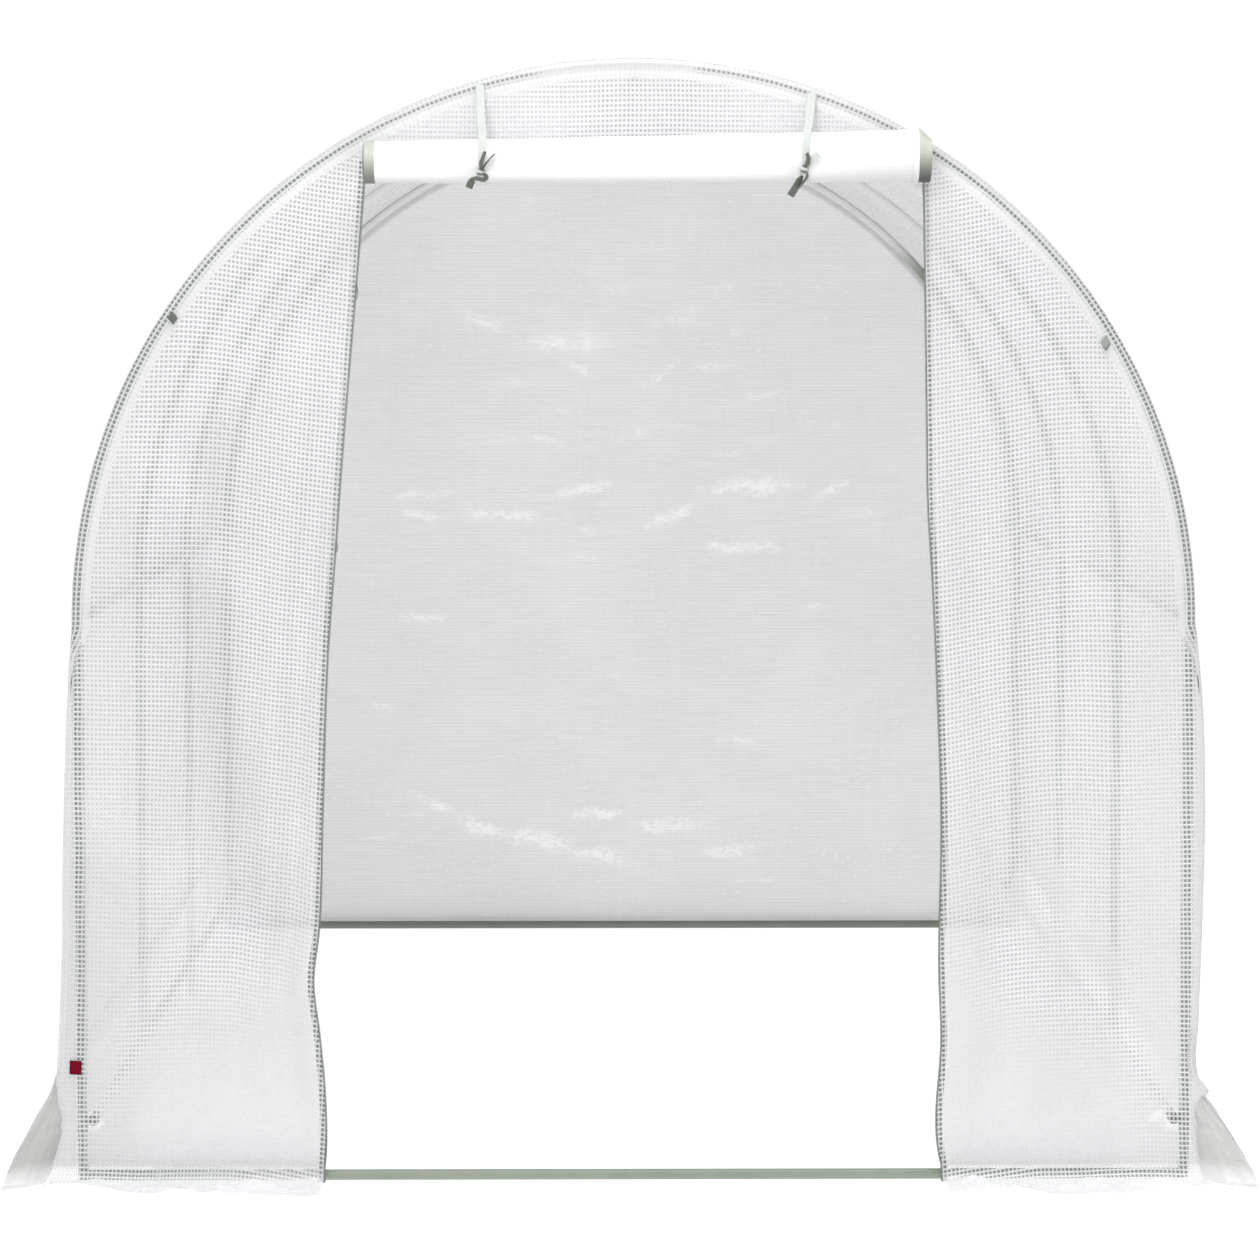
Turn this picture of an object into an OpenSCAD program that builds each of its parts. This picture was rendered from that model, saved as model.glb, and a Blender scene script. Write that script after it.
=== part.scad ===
// Walk-in polytunnel greenhouse: four round-tube hoops, a reinforced film
// cover with ground skirts, and a front doorway whose zip door is rolled up
// and tied. Millimetres, +Z up, door towards -Y, origin on the ground at the
// middle of the footprint.

/* [Tunnel] */
// Overall width over the side walls
tunnel_w = 2000; // [1800:10:2200]
// Overall length from the front panel to the rear panel
tunnel_l = 3000; // [2400:50:3600]
// Height of the straight side walls, below the half-round roof
wall_h = 1000; // [900:10:1100]

/* [Frame] */
// Outside diameter of the frame tube
tube_d = 19; // [16:1:25]
// Number of hoops over the length
hoops = 4; // [4:1:4]
// Height of the base rails' centre line
base_rail_z = 110; // [80:5:160]
// Height of the side rails' centre line
side_rail_z = 1020; // [1005:5:1040]
// Sideways place of the joint in each ground bar
bar_joint_x = -20; // [-60:5:60]
// Gap between tubes that are bolted together
bolt_gap = 0.2; // [0.1:0.1:0.5]

/* [Cover] */
// Thickness of the film as modelled
film_t = 2; // [1.5:0.5:3]
// Gap between the film and the hoops
film_gap = 1; // [0.5:0.5:3]
// How far the side skirts reach out over the ground
side_skirt = 125; // [80:5:200]
// Height at which the side skirts leave the walls
flare_z = 190; // [140:5:260]
// Width of the ground skirts at the front and rear
end_skirt = 135; // [80:5:200]
// How far the side skirts run past the end panels
skirt_over = 60; // [0:5:70]

/* [Door] */
// Left edge of the doorway at its top
door_left_top = -490; // [-540:5:-440]
// Left edge of the doorway at the ground
door_left_base = -557; // [-600:1:-500]
// Right edge of the doorway at its top
door_right_top = 515; // [440:5:540]
// Right edge of the doorway at the ground
door_right_base = 545; // [500:1:600]
// Height of the doorway's top edge
door_top = 1800; // [1780:5:1820]
// Diameter of the rolled-up door
roll_d = 88; // [70:2:100]
// Length of the rolled-up door
roll_l = 1006; // [900:2:1010]
// Sideways place of the roll's middle
roll_x = 20; // [-20:2:30]
// Height of the roll's centre line
roll_z = 1819; // [1810:1:1825]

/* [Trim] */
// Width of the webbing used for the ties and tabs
web_w = 15; // [10:1:25]
// Thickness of the webbing as modelled
web_t = 1.5; // [1:0.5:2]
// Left tie's sideways place
tie_left_x = -274; // [-320:2:-220]
// Right tie's sideways place
tie_right_x = 306; // [220:2:320]
// Width of the zip tape
zip_w = 16; // [12:1:24]
// How far the zip tape stands out of the panel's edge
zip_out = 5; // [3:1:8]

/* [Hidden] */
$fn = 96;

R = tunnel_w / 2;                       // outside of the film
half_l = tunnel_l / 2;
tr = tube_d / 2;
hoop_r = R - film_t - film_gap - tr;    // centre line of the hoops
end_y = half_l - film_t - film_gap - tr; // centre line of the end hoops
function hoop_y(i) = -end_y + i * 2 * end_y / (hoops - 1);
rail_x = hoop_r - tube_d - bolt_gap;    // rails run inside the hoops
rail_end = half_l - film_t - 1;
bar_end = hoop_r - tr - bolt_gap;       // ground bars run between the legs
roll_y = -half_l - roll_d / 2 - 2;      // the roll hangs in front of the panel

tube_c = [0.66, 0.71, 0.65];
film_c = [0.93, 0.94, 0.94, 0.6];
skirt_c = [0.9, 0.9, 0.89];
web_c = [0.55, 0.62, 0.56];
tag_c = [0.6, 0.05, 0.1];

// One straight leg of a hoop, side -1 left or 1 right
module leg(i, side)
  color(tube_c) translate([side * hoop_r, hoop_y(i), 0]) cylinder(d = tube_d, h = wall_h);

// One quarter of a hoop's half-round top
module arch(i, side)
  color(tube_c) translate([0, hoop_y(i), wall_h]) rotate([90, 0, 0])
    rotate([0, 0, side > 0 ? 0 : 90])
      rotate_extrude(angle = 90) translate([hoop_r, 0]) circle(d = tube_d);

// A tube along Y that runs inside all the hoops
module long_rail(x, z)
  color(tube_c) translate([x, rail_end, z]) rotate([90, 0, 0]) cylinder(d = tube_d, h = 2 * rail_end);

// Half of a ground bar across an end, between the legs
module ground_bar(y, x0, x1)
  color(tube_c) translate([x0, y, tr]) rotate([0, 90, 0]) cylinder(d = tube_d, h = x1 - x0);

// A flat wall of the cover, down to where its skirt leaves it
module cover_wall(side)
  color(film_c) translate([side > 0 ? R - film_t : -R, -half_l + film_t, flare_z - film_t * 2.9])
    cube([film_t, tunnel_l - 2 * film_t, wall_h - flare_z + film_t * 2.9]);

// The half-round roof of the cover
module roof()
  color(film_c) translate([0, 0, wall_h]) rotate([90, 0, 0])
    rotate_extrude(angle = 180)
      translate([R - film_t, -half_l + film_t]) square([film_t, tunnel_l - 2 * film_t]);

// Outline of an end of the tunnel, upper half-round part only
module half_round()
  intersection() {
    translate([0, wall_h]) circle(r = R);
    translate([-R, wall_h]) square([2 * R, R]);
  }

// Doorway edge as x at height z
function edge_x(top, base, z) = base + (top - base) * z / door_top;

// Outline of an end of the tunnel
module end_outline() {
  translate([0, wall_h]) circle(r = R);
  translate([-R + 0.5, 0]) square([2 * R - 1, wall_h]);
}

// Panel beside the doorway, from the ground to the roof
module side_panel_2d(top, base, side)
  intersection() {
    end_outline();
    polygon([[side * (R + 40), -40], [edge_x(top, base, -40), -40],
             [edge_x(top, base, wall_h + R + 40), wall_h + R + 40], [side * (R + 40), wall_h + R + 40]]);
  }

module front_sheet() color(film_c) translate([0, -half_l + film_t, 0]) rotate([90, 0, 0])
  linear_extrude(film_t) children();

module panel_left() front_sheet() side_panel_2d(door_left_top, door_left_base, -1);
module panel_right() front_sheet() side_panel_2d(door_right_top, door_right_base, 1);

// Panel over the doorway, behind the roll
module panel_top()
  front_sheet() intersection() {
    translate([0, wall_h]) circle(r = R);
    polygon([[edge_x(door_left_top, door_left_base, door_top), door_top],
             [edge_x(door_right_top, door_right_base, door_top), door_top],
             [edge_x(door_right_top, door_right_base, wall_h + R), wall_h + R],
             [edge_x(door_left_top, door_left_base, wall_h + R), wall_h + R]]);
  }

// Closed panel at the rear
module panel_rear()
  color(film_c) translate([0, half_l, 0]) rotate([90, 0, 0]) linear_extrude(film_t) {
    translate([-R, 0]) square([2 * R, wall_h]);
    half_round();
  }

// Rolled-up door, as the outside of the roll
module roll()
  color([0.96, 0.96, 0.96]) translate([roll_x - roll_l / 2, roll_y, roll_z]) rotate([0, 90, 0])
    cylinder(d = roll_d, h = roll_l);

// A webbing tie: it hangs from the roof seam, goes round the roll and is knotted below it
module tie(x) {
  rr = roll_d / 2 + 0.2;
  top_z = wall_h + sqrt(R * R - x * x) - 22;
  dy = -half_l - web_t - 0.3 - roll_y;
  dz = top_z - roll_z;
  reach = sqrt(dy * dy + dz * dz);
  lean = atan2(dy, dz) + asin((rr + web_t / 2) / reach);
  run = sqrt(reach * reach - pow(rr + web_t / 2, 2));
  color(web_c) union() {
    translate([x - web_w / 2, roll_y, roll_z]) rotate([0, 90, 0]) rotate([0, 0, 75]) difference() {
      cylinder(r = rr + web_t, h = web_w);
      translate([0, 0, -1]) cylinder(r = rr, h = web_w + 2);
    }
    translate([x, -half_l - web_t - 0.3, top_z]) rotate([-lean, 0, 0])
      translate([-web_w / 2, -web_t * 0.35, -run]) cube([web_w, web_t * 0.7, run]);
    translate([x - web_w / 2 - 2, roll_y - 8, roll_z - rr - 21]) cube([web_w + 4, 14, 20.3]);
  }
}

// Zip tape along an edge of the doorway, behind the panel
module zip(top, base, side) {
  h0 = 30;
  h1 = door_top - 40;
  function at(z) = edge_x(top, base, z);
  color(web_c) translate([0, -half_l + film_t + 1.5, 0]) rotate([90, 0, 0]) linear_extrude(1.5)
    polygon([[at(h0) - side * zip_out, h0], [at(h0) + side * (zip_w - zip_out), h0],
             [at(h1) + side * (zip_w - zip_out), h1], [at(h1) - side * zip_out, h1]]);
}

// A side skirt: it slopes from the wall out to the ground
module side_skirt_plate(side)
  color(skirt_c) translate([0, half_l + skirt_over, 0]) rotate([90, 0, 0])
    linear_extrude(tunnel_l + 2 * skirt_over)
      polygon([[side * R, flare_z], [side * (R + side_skirt), 0],
               [side * (R + side_skirt - film_t * 1.9), 0], [side * R, flare_z - film_t * 2.9]]);

// A flat strip of skirt on the ground
module skirt(x0, x1, y0, y1)
  color(skirt_c) translate([x0, y0, 0]) cube([x1 - x0, y1 - y0, film_t]);

// Small webbing loops sewn in at the roof seam, one each side
module tabs()
  color(web_c) for (p = [[-1, 33, 148], [1, 30, 152]])
    translate([p[0] * (R - 31) * cos(p[1]), -half_l - 3, wall_h + (R - 31) * sin(p[1])])
      rotate([0, p[0] * (p[1] - 20), 0]) translate([-web_w / 2, 0, -10]) cube([web_w, 3, 22]);

// Plain woven tag sewn in at the left front seam
module tag()
  color(tag_c) translate([-R + 1, -half_l - 1.2, 186]) cube([21, 1.2, 25]);

leg(0, -1);  // front_hoop_left_leg
leg(0, 1);  // front_hoop_right_leg
arch(0, -1);  // front_hoop_left_arch
arch(0, 1);  // front_hoop_right_arch
leg(1, -1);  // second_hoop_left_leg
leg(1, 1);  // second_hoop_right_leg
arch(1, -1);  // second_hoop_left_arch
arch(1, 1);  // second_hoop_right_arch
leg(2, -1);  // third_hoop_left_leg
leg(2, 1);  // third_hoop_right_leg
arch(2, -1);  // third_hoop_left_arch
arch(2, 1);  // third_hoop_right_arch
leg(3, -1);  // rear_hoop_left_leg
leg(3, 1);  // rear_hoop_right_leg
arch(3, -1);  // rear_hoop_left_arch
arch(3, 1);  // rear_hoop_right_arch
ground_bar(-end_y, -bar_end, bar_joint_x);  // front_ground_bar_left
ground_bar(-end_y, bar_joint_x, bar_end);  // front_ground_bar_right
ground_bar(end_y, -bar_end, bar_joint_x);  // rear_ground_bar_left
ground_bar(end_y, bar_joint_x, bar_end);  // rear_ground_bar_right
long_rail(-rail_x, base_rail_z);  // left_base_rail
long_rail(rail_x, base_rail_z);  // right_base_rail
long_rail(-rail_x, side_rail_z);  // left_side_rail
long_rail(rail_x, side_rail_z);  // right_side_rail
long_rail(0, wall_h + rail_x);  // ridge_purlin
cover_wall(-1);  // cover_left_wall
roof();  // cover_roof
cover_wall(1);  // cover_right_wall
panel_left();  // front_panel_left
panel_right();  // front_panel_right
panel_top();  // front_panel_top
panel_rear();  // rear_panel
roll();  // rolled_door
tie(tie_left_x);  // door_tie_left
tie(tie_right_x);  // door_tie_right
zip(door_left_top, door_left_base, -1);  // left_door_zip
zip(door_right_top, door_right_base, 1);  // right_door_zip
side_skirt_plate(-1);  // left_skirt
side_skirt_plate(1);  // right_skirt
skirt(-R, door_left_base, -half_l - end_skirt, -half_l);  // front_left_skirt
skirt(door_right_base, R, -half_l - end_skirt, -half_l);  // front_right_skirt
skirt(-R, R, half_l, half_l + end_skirt);  // rear_skirt
tabs();  // arch_tabs
tag();  // seam_tag
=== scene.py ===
import math
import bpy
import numpy as np
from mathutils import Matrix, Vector


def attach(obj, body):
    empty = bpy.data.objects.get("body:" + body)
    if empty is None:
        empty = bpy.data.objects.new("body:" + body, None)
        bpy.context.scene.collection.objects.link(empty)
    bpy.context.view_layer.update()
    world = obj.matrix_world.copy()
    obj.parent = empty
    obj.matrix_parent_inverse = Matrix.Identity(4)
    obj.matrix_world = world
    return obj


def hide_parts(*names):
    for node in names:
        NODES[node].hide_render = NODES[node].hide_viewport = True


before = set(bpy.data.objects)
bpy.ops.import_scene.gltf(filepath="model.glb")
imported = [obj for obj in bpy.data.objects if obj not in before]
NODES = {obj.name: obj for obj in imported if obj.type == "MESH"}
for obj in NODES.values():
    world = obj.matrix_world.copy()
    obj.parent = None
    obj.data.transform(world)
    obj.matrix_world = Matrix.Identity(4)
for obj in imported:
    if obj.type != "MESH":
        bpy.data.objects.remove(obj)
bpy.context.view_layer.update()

scene = bpy.context.scene

# ---------------------------------------------------------------- helpers


def smooth_curve(xs, ys):
    """A smooth curve through (xs, ys), as a function of an array."""
    xs, ys = np.asarray(xs, float), np.asarray(ys, float)
    m = np.gradient(ys, xs)

    def f(q):
        q = np.clip(np.asarray(q, float), xs[0], xs[-1])
        i = np.clip(np.searchsorted(xs, q, side="right") - 1, 0, len(xs) - 2)
        h = xs[i + 1] - xs[i]
        t = (q - xs[i]) / h
        return (
            (2 * t**3 - 3 * t**2 + 1) * ys[i]
            + (t**3 - 2 * t**2 + t) * h * m[i]
            + (-2 * t**3 + 3 * t**2) * ys[i + 1]
            + (t**3 - t**2) * h * m[i + 1]
        )

    return f


def step(a, b, x):
    t = np.clip((np.asarray(x, float) - a) / (b - a), 0, 1)
    return t * t * (3 - 2 * t)


_tables = {}


def noise(x, y, seed):
    """Gradient noise of two coordinates, about -0.7 to 0.7."""
    if seed not in _tables:
        rng = np.random.default_rng(seed)
        p = rng.permutation(256)
        a = rng.random(256) * 2 * math.pi
        _tables[seed] = np.concatenate([p, p]), np.cos(a), np.sin(a)
    p, gx, gy = _tables[seed]
    x, y = np.broadcast_arrays(np.asarray(x, float), np.asarray(y, float))
    xi, yi = np.floor(x).astype(int), np.floor(y).astype(int)
    xf, yf = x - xi, y - yi
    u, v = (t * t * t * (t * (t * 6 - 15) + 10) for t in (xf, yf))

    def corner(i, j):
        h = p[p[(xi + i) & 255] + ((yi + j) & 255)]
        return gx[h] * (xf - i) + gy[h] * (yf - j)

    a = corner(0, 0) * (1 - u) + corner(1, 0) * u
    b = corner(0, 1) * (1 - u) + corner(1, 1) * u
    return a * (1 - v) + b * v


def fbm(x, y, seed, octaves=4):
    out, amp, f = 0.0, 1.0, 1.0
    for k in range(octaves):
        out = out + amp * noise(x * f, y * f, seed + k)
        amp, f = amp * 0.5, f * 2.03
    return out


def creases(x, y, seed, octaves=3):
    """Sharp folds, as in crumpled film: 0 in the flats, up to 1 along the folds."""
    out, amp, f, total = 0.0, 1.0, 1.0, 0.0
    for k in range(octaves):
        n = 1 - np.clip(np.abs(noise(x * f, y * f, seed + 31 * k)) * 3.2, 0, 1)
        out = out + amp * n * n
        total += amp
        amp, f = amp * 0.55, f * 1.9
    return out / total


def grid_mesh(name, P, uv=None, attrs=None, smooth=True, wrap=False):
    """A mesh of quads from an array of points [n, m, 3]. wrap joins the last row to the first."""
    P = np.asarray(P, float)
    n, m = P.shape[:2]
    i, j = np.meshgrid(np.arange(n if wrap else n - 1), np.arange(m - 1), indexing="ij")
    i2 = (i + 1) % n
    quads = np.stack([i * m + j, i2 * m + j, i2 * m + j + 1, i * m + j + 1], -1).reshape(-1, 4)
    me = bpy.data.meshes.new(name)
    me.vertices.add(n * m)
    me.vertices.foreach_set("co", P.reshape(-1).astype(np.float32))
    me.loops.add(len(quads) * 4)
    me.loops.foreach_set("vertex_index", quads.reshape(-1).astype(np.int32))
    me.polygons.add(len(quads))
    me.polygons.foreach_set("loop_start", (np.arange(len(quads)) * 4).astype(np.int32))
    me.polygons.foreach_set("loop_total", np.full(len(quads), 4, np.int32))
    me.polygons.foreach_set("use_smooth", np.full(len(quads), smooth))
    if uv is not None:
        layer = me.uv_layers.new(name="film")
        layer.data.foreach_set("uv", np.asarray(uv, float).reshape(-1, 2)[quads.reshape(-1)].reshape(-1).astype(np.float32))
    for key, value in (attrs or {}).items():
        a = me.attributes.new(key, "FLOAT", "POINT")
        a.data.foreach_set("value", np.broadcast_to(value, (n, m)).reshape(-1).astype(np.float32))
    me.update()
    me.validate()
    ob = bpy.data.objects.new(name, me)
    scene.collection.objects.link(ob)
    return ob


def soup(name, verts, faces, smooth=False, uv=None):
    """A mesh from plain lists of vertices and faces."""
    me = bpy.data.meshes.new(name)
    me.from_pydata([tuple(map(float, v)) for v in verts], [], [tuple(map(int, f)) for f in faces])
    if uv is not None:
        layer = me.uv_layers.new(name="film")
        loops = np.zeros(len(me.loops), np.int32)
        me.loops.foreach_get("vertex_index", loops)
        layer.data.foreach_set("uv", np.asarray(uv, float)[loops].reshape(-1).astype(np.float32))
    me.polygons.foreach_set("use_smooth", np.full(len(me.polygons), smooth))
    me.update()
    me.validate()
    ob = bpy.data.objects.new(name, me)
    scene.collection.objects.link(ob)
    return ob


def lengths(P, axis):
    """Running length along an axis of a grid of points."""
    d = np.linalg.norm(np.diff(P, axis=axis), axis=-1)
    z = np.zeros_like(np.take(d, [0], axis=axis))
    return np.concatenate([z, np.cumsum(d, axis=axis)], axis=axis)


# ---------------------------------------------------------------- materials


class Graph:
    """A short way to write shader nodes."""

    def __init__(self, name):
        self.m = bpy.data.materials.new(name)
        self.m.use_nodes = True
        self.t = self.m.node_tree
        self.t.nodes.clear()
        self.out = self.t.nodes.new("ShaderNodeOutputMaterial")

    def put(self, socket, value):
        if isinstance(value, bpy.types.NodeSocket):
            self.t.links.new(value, socket)
        elif value is not None:
            socket.default_value = value

    def math(self, op, a, b=None, c=None, clamp=False):
        n = self.t.nodes.new("ShaderNodeMath")
        n.operation, n.use_clamp = op, clamp
        for s, v in zip(n.inputs, (a, b, c)):
            self.put(s, v)
        return n.outputs[0]

    def ramp(self, x, a, b, lo=0.0, hi=1.0):
        n = self.t.nodes.new("ShaderNodeMapRange")
        n.interpolation_type = "SMOOTHSTEP"
        for s, v in zip(n.inputs, (x, a, b, lo, hi)):
            self.put(s, v)
        return n.outputs[0]

    def mix(self, fac, a, b):
        n = self.t.nodes.new("ShaderNodeMix")
        n.data_type = "RGBA"
        self.put(n.inputs["Factor"], fac)
        self.put(n.inputs["A"], a if isinstance(a, bpy.types.NodeSocket) else (*a, 1.0))
        self.put(n.inputs["B"], b if isinstance(b, bpy.types.NodeSocket) else (*b, 1.0))
        return n.outputs["Result"]

    def fmix(self, fac, a, b):
        n = self.t.nodes.new("ShaderNodeMix")
        self.put(n.inputs["Factor"], fac)
        self.put(n.inputs["A"], a)
        self.put(n.inputs["B"], b)
        return n.outputs["Result"]

    def tex(self, vector, scale, detail=3.0, rough=0.5, kind="ShaderNodeTexNoise", out="Fac", flat=False):
        n = self.t.nodes.new(kind)
        if flat:
            n.noise_dimensions = "2D"
        self.put(n.inputs["Vector"], vector)
        self.put(n.inputs["Scale"], scale)
        if kind == "ShaderNodeTexNoise":
            self.put(n.inputs["Detail"], detail)
            self.put(n.inputs["Roughness"], rough)
        return n.outputs[out]

    def coords(self, out="Object"):
        return self.t.nodes.new("ShaderNodeTexCoord").outputs[out]

    def uv(self):
        n = self.t.nodes.new("ShaderNodeUVMap")
        n.uv_map = "film"
        return n.outputs["UV"]

    def split(self, v):
        n = self.t.nodes.new("ShaderNodeSeparateXYZ")
        self.put(n.inputs[0], v)
        return n.outputs

    def join(self, x, y, z=0.0):
        n = self.t.nodes.new("ShaderNodeCombineXYZ")
        for s, v in zip(n.inputs, (x, y, z)):
            self.put(s, v)
        return n.outputs[0]

    def attr(self, name):
        n = self.t.nodes.new("ShaderNodeAttribute")
        n.attribute_name = name
        return n.outputs["Fac"]

    def bump(self, height, distance, strength=1.0, normal=None):
        n = self.t.nodes.new("ShaderNodeBump")
        self.put(n.inputs["Strength"], strength)
        self.put(n.inputs["Distance"], distance)
        self.put(n.inputs["Height"], height)
        self.put(n.inputs["Normal"], normal)
        return n.outputs[0]

    def principled(self, base, rough, normal=None, **more):
        n = self.t.nodes.new("ShaderNodeBsdfPrincipled")
        self.put(n.inputs["Base Color"], base if isinstance(base, bpy.types.NodeSocket) else (*base, 1.0))
        self.put(n.inputs["Roughness"], rough)
        self.put(n.inputs["Normal"], normal)
        for k, v in more.items():
            self.put(n.inputs[k], v)
        return n.outputs[0]

    def shader_mix(self, fac, a, b):
        n = self.t.nodes.new("ShaderNodeMixShader")
        self.put(n.inputs[0], fac)
        self.t.links.new(a, n.inputs[1])
        self.t.links.new(b, n.inputs[2])
        return n.outputs[0]

    def simple(self, kind, color, normal=None):
        n = self.t.nodes.new(kind)
        self.put(n.inputs["Color"], color if isinstance(color, bpy.types.NodeSocket) else (*color, 1.0))
        if normal is not None:
            self.put(n.inputs["Normal"], normal)
        return n.outputs[0]

    def done(self, shader):
        self.t.links.new(shader, self.out.inputs["Surface"])
        return self.m


PITCH_U, PITCH_V = 0.00735, 0.0088


def scrim(g):
    """The laid threads of the reinforced film: 1 on a thread, 0 in the clear cells, and the height over the film."""
    u, v, _ = g.split(g.uv())
    wob = g.tex(g.uv(), 9.0, 1.0, flat=True)
    u = g.math("ADD", u, g.math("MULTIPLY", g.math("SUBTRACT", wob, 0.5), 0.003))
    v = g.math("ADD", v, g.math("MULTIPLY", g.math("SUBTRACT", g.tex(g.join(v, u), 7.0, 1.0, flat=True), 0.5), 0.003))
    du = g.math("ABSOLUTE", g.math("SUBTRACT", g.math("FRACT", g.math("DIVIDE", u, PITCH_U)), 0.5))
    dv = g.math("ABSOLUTE", g.math("SUBTRACT", g.math("FRACT", g.math("DIVIDE", v, PITCH_V)), 0.5))
    tu = g.ramp(du, 0.10, 0.44, 0.0, 0.88)
    tv = g.ramp(dv, 0.10, 0.44)
    thread = g.math("MAXIMUM", tu, tv)
    height = g.math("ADD", g.ramp(du, 0.2, 0.42), g.ramp(dv, 0.2, 0.42))
    return thread, height, tu, tv


def film_material(name, cell_a, thread_a, cell_c, thread_c, plain_c, through, rough=0.3, highlight_white=0.25):
    g = Graph(name)
    thread, height, tu, tv = scrim(g)
    p = g.uv()
    cloud = g.tex(p, 2.3, 2.0, flat=True)
    fine = g.tex(p, 60.0, 1.0, flat=True)
    crease_highlight = g.attr("crease_highlight")
    hem = g.attr("hem")
    plain = g.attr("plain")
    base = g.mix(plain, g.mix(thread, cell_c, thread_c), plain_c)
    # painted highlight: along creases and at the painted white marks the colour goes towards the threads' white, and
    # further down the film is made more opaque there
    base = g.mix(g.math("MULTIPLY", crease_highlight, highlight_white, clamp=True), base, thread_c)
    shade = g.math("MULTIPLY", g.ramp(cloud, 0.3, 0.7, 0.965, 1.0), g.math("MULTIPLY_ADD", g.attr("shade"), -0.16, 1.0))
    tint = g.t.nodes.new("ShaderNodeVectorMath")
    tint.operation = "SCALE"
    g.put(tint.inputs[0], base)
    g.put(tint.inputs["Scale"], shade)
    base = tint.outputs[0]
    alpha = g.fmix(thread, g.math("MAXIMUM", g.attr("haze"), cell_a), thread_a)
    alpha = g.math("ADD", alpha, g.math("MULTIPLY", crease_highlight, highlight_white * 0.6), clamp=True)
    alpha = g.math("MAXIMUM", alpha, hem)
    normal = g.bump(height, 0.00025, 0.8)
    normal = g.bump(fine, 0.0006, 0.35, normal)
    r = g.ramp(fine, 0.3, 0.75, rough - 0.06, rough + 0.1)
    body = g.principled(base, r, normal, **{"Specular IOR Level": 0.55})
    back = g.simple("ShaderNodeBsdfTranslucent", base, normal)
    clear = g.simple("ShaderNodeBsdfTransparent", (1.0, 1.0, 1.0))
    return g.done(g.shader_mix(alpha, clear, g.shader_mix(through, body, back)))


FRONT_FILM = film_material("film_front", 0.10, 0.94, (0.44, 0.445, 0.475), (0.905, 0.907, 0.920), (0.752, 0.755, 0.763), 0.24)
SEAM_FILM = film_material("film_seam", 0.06, 0.94, (0.42, 0.43, 0.44), (0.895, 0.897, 0.905), (0.885, 0.888, 0.892), 0.24)
FILM = film_material("film_cover", 0.62, 0.96, (0.665, 0.67, 0.685), (0.76, 0.76, 0.765), (0.75, 0.75, 0.755), 0.36)


def rear_material():
    g = Graph("film_rear")
    thread, height, tu, tv = scrim(g)
    p = g.coords()
    x, y, z = g.split(p)
    cloud = g.tex(g.join(x, z), 1.6, 2.0, flat=True)
    fine = g.tex(g.join(x, z), 60.0, 2.0, flat=True)
    level = g.tex(g.join(g.math("MULTIPLY", x, 7.0), g.math("MULTIPLY", z, 190.0)), 1.0, 1.0, flat=True)
    upright = g.tex(g.join(g.math("MULTIPLY", x, 120.0), g.math("MULTIPLY", z, 5.0)), 1.0, 1.0, flat=True)
    crinkle = g.tex(g.join(g.math("MULTIPLY", x, 34.0), g.math("MULTIPLY", z, 78.0)), 1.0, 4.0, 0.64, flat=True)
    ridge = g.math("SUBTRACT", 1.0, g.math("MULTIPLY", g.math("ABSOLUTE", g.math("SUBTRACT", crinkle, 0.5)), 8.0), clamp=True)
    # painted glints: bright along the crinkles and in small flecks; they whiten the colour, make the film more opaque
    # and let more light through
    lump = g.math("MULTIPLY", g.attr("crease_highlight"), g.math("MULTIPLY_ADD", ridge, 0.85, 0.36))
    fleck_glint = g.ramp(g.tex(g.join(g.math("MULTIPLY", x, 60.0), g.math("MULTIPLY", z, 140.0)), 1.0, 2.0, flat=True), 0.56, 0.72)
    patch = g.tex(g.join(g.math("MULTIPLY", x, 4.0), g.math("MULTIPLY", z, 8.0)), 1.0, 2.0, flat=True)
    fleck_glint = g.math("MULTIPLY", fleck_glint, g.ramp(patch, 0.42, 0.62, 0.0, 0.30))
    glint = g.math("MAXIMUM", g.ramp(lump, 0.06, 0.60, 0.0, 0.84), fleck_glint)
    base = g.mix(g.math("MULTIPLY", thread, g.ramp(patch, 0.36, 0.64, 1.0, 0.35)), (0.803, 0.803, 0.808), (0.848, 0.848, 0.850))
    lines = g.math("ADD", g.ramp(level, 0.25, 0.75, -0.018, 0.018), g.ramp(upright, 0.3, 0.75, -0.006, 0.009))
    shade = g.math("ADD", g.ramp(cloud, 0.3, 0.7, 0.985, 1.015), lines)
    # painted shade: the rear film darker towards the bottom
    shade = g.math("MULTIPLY", shade, g.ramp(z, 0.10, 1.05, 0.940, 1.030))
    tint = g.t.nodes.new("ShaderNodeVectorMath")
    tint.operation = "SCALE"
    g.put(tint.inputs[0], base)
    g.put(tint.inputs["Scale"], shade)
    base = g.mix(glint, tint.outputs[0], (0.95, 0.95, 0.95))
    alpha = g.math("MAXIMUM", g.fmix(thread, 0.94, 0.985), g.math("MAXIMUM", g.attr("hem"), glint))
    normal = g.bump(height, 0.0002, 0.5)
    normal = g.bump(fine, 0.0006, 0.3, normal)
    normal = g.bump(crinkle, 0.004, g.math("MULTIPLY", g.attr("crease_highlight"), 0.6), normal)
    body = g.principled(base, g.ramp(fine, 0.3, 0.75, 0.30, 0.44), normal, **{"Specular IOR Level": 0.55})
    back = g.simple("ShaderNodeBsdfTranslucent", base, normal)
    clear = g.simple("ShaderNodeBsdfTransparent", (1.0, 1.0, 1.0))
    return g.done(g.shader_mix(alpha, clear, g.shader_mix(g.math("MULTIPLY_ADD", glint, 0.40, 0.36), body, back)))


REAR = rear_material()


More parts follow.
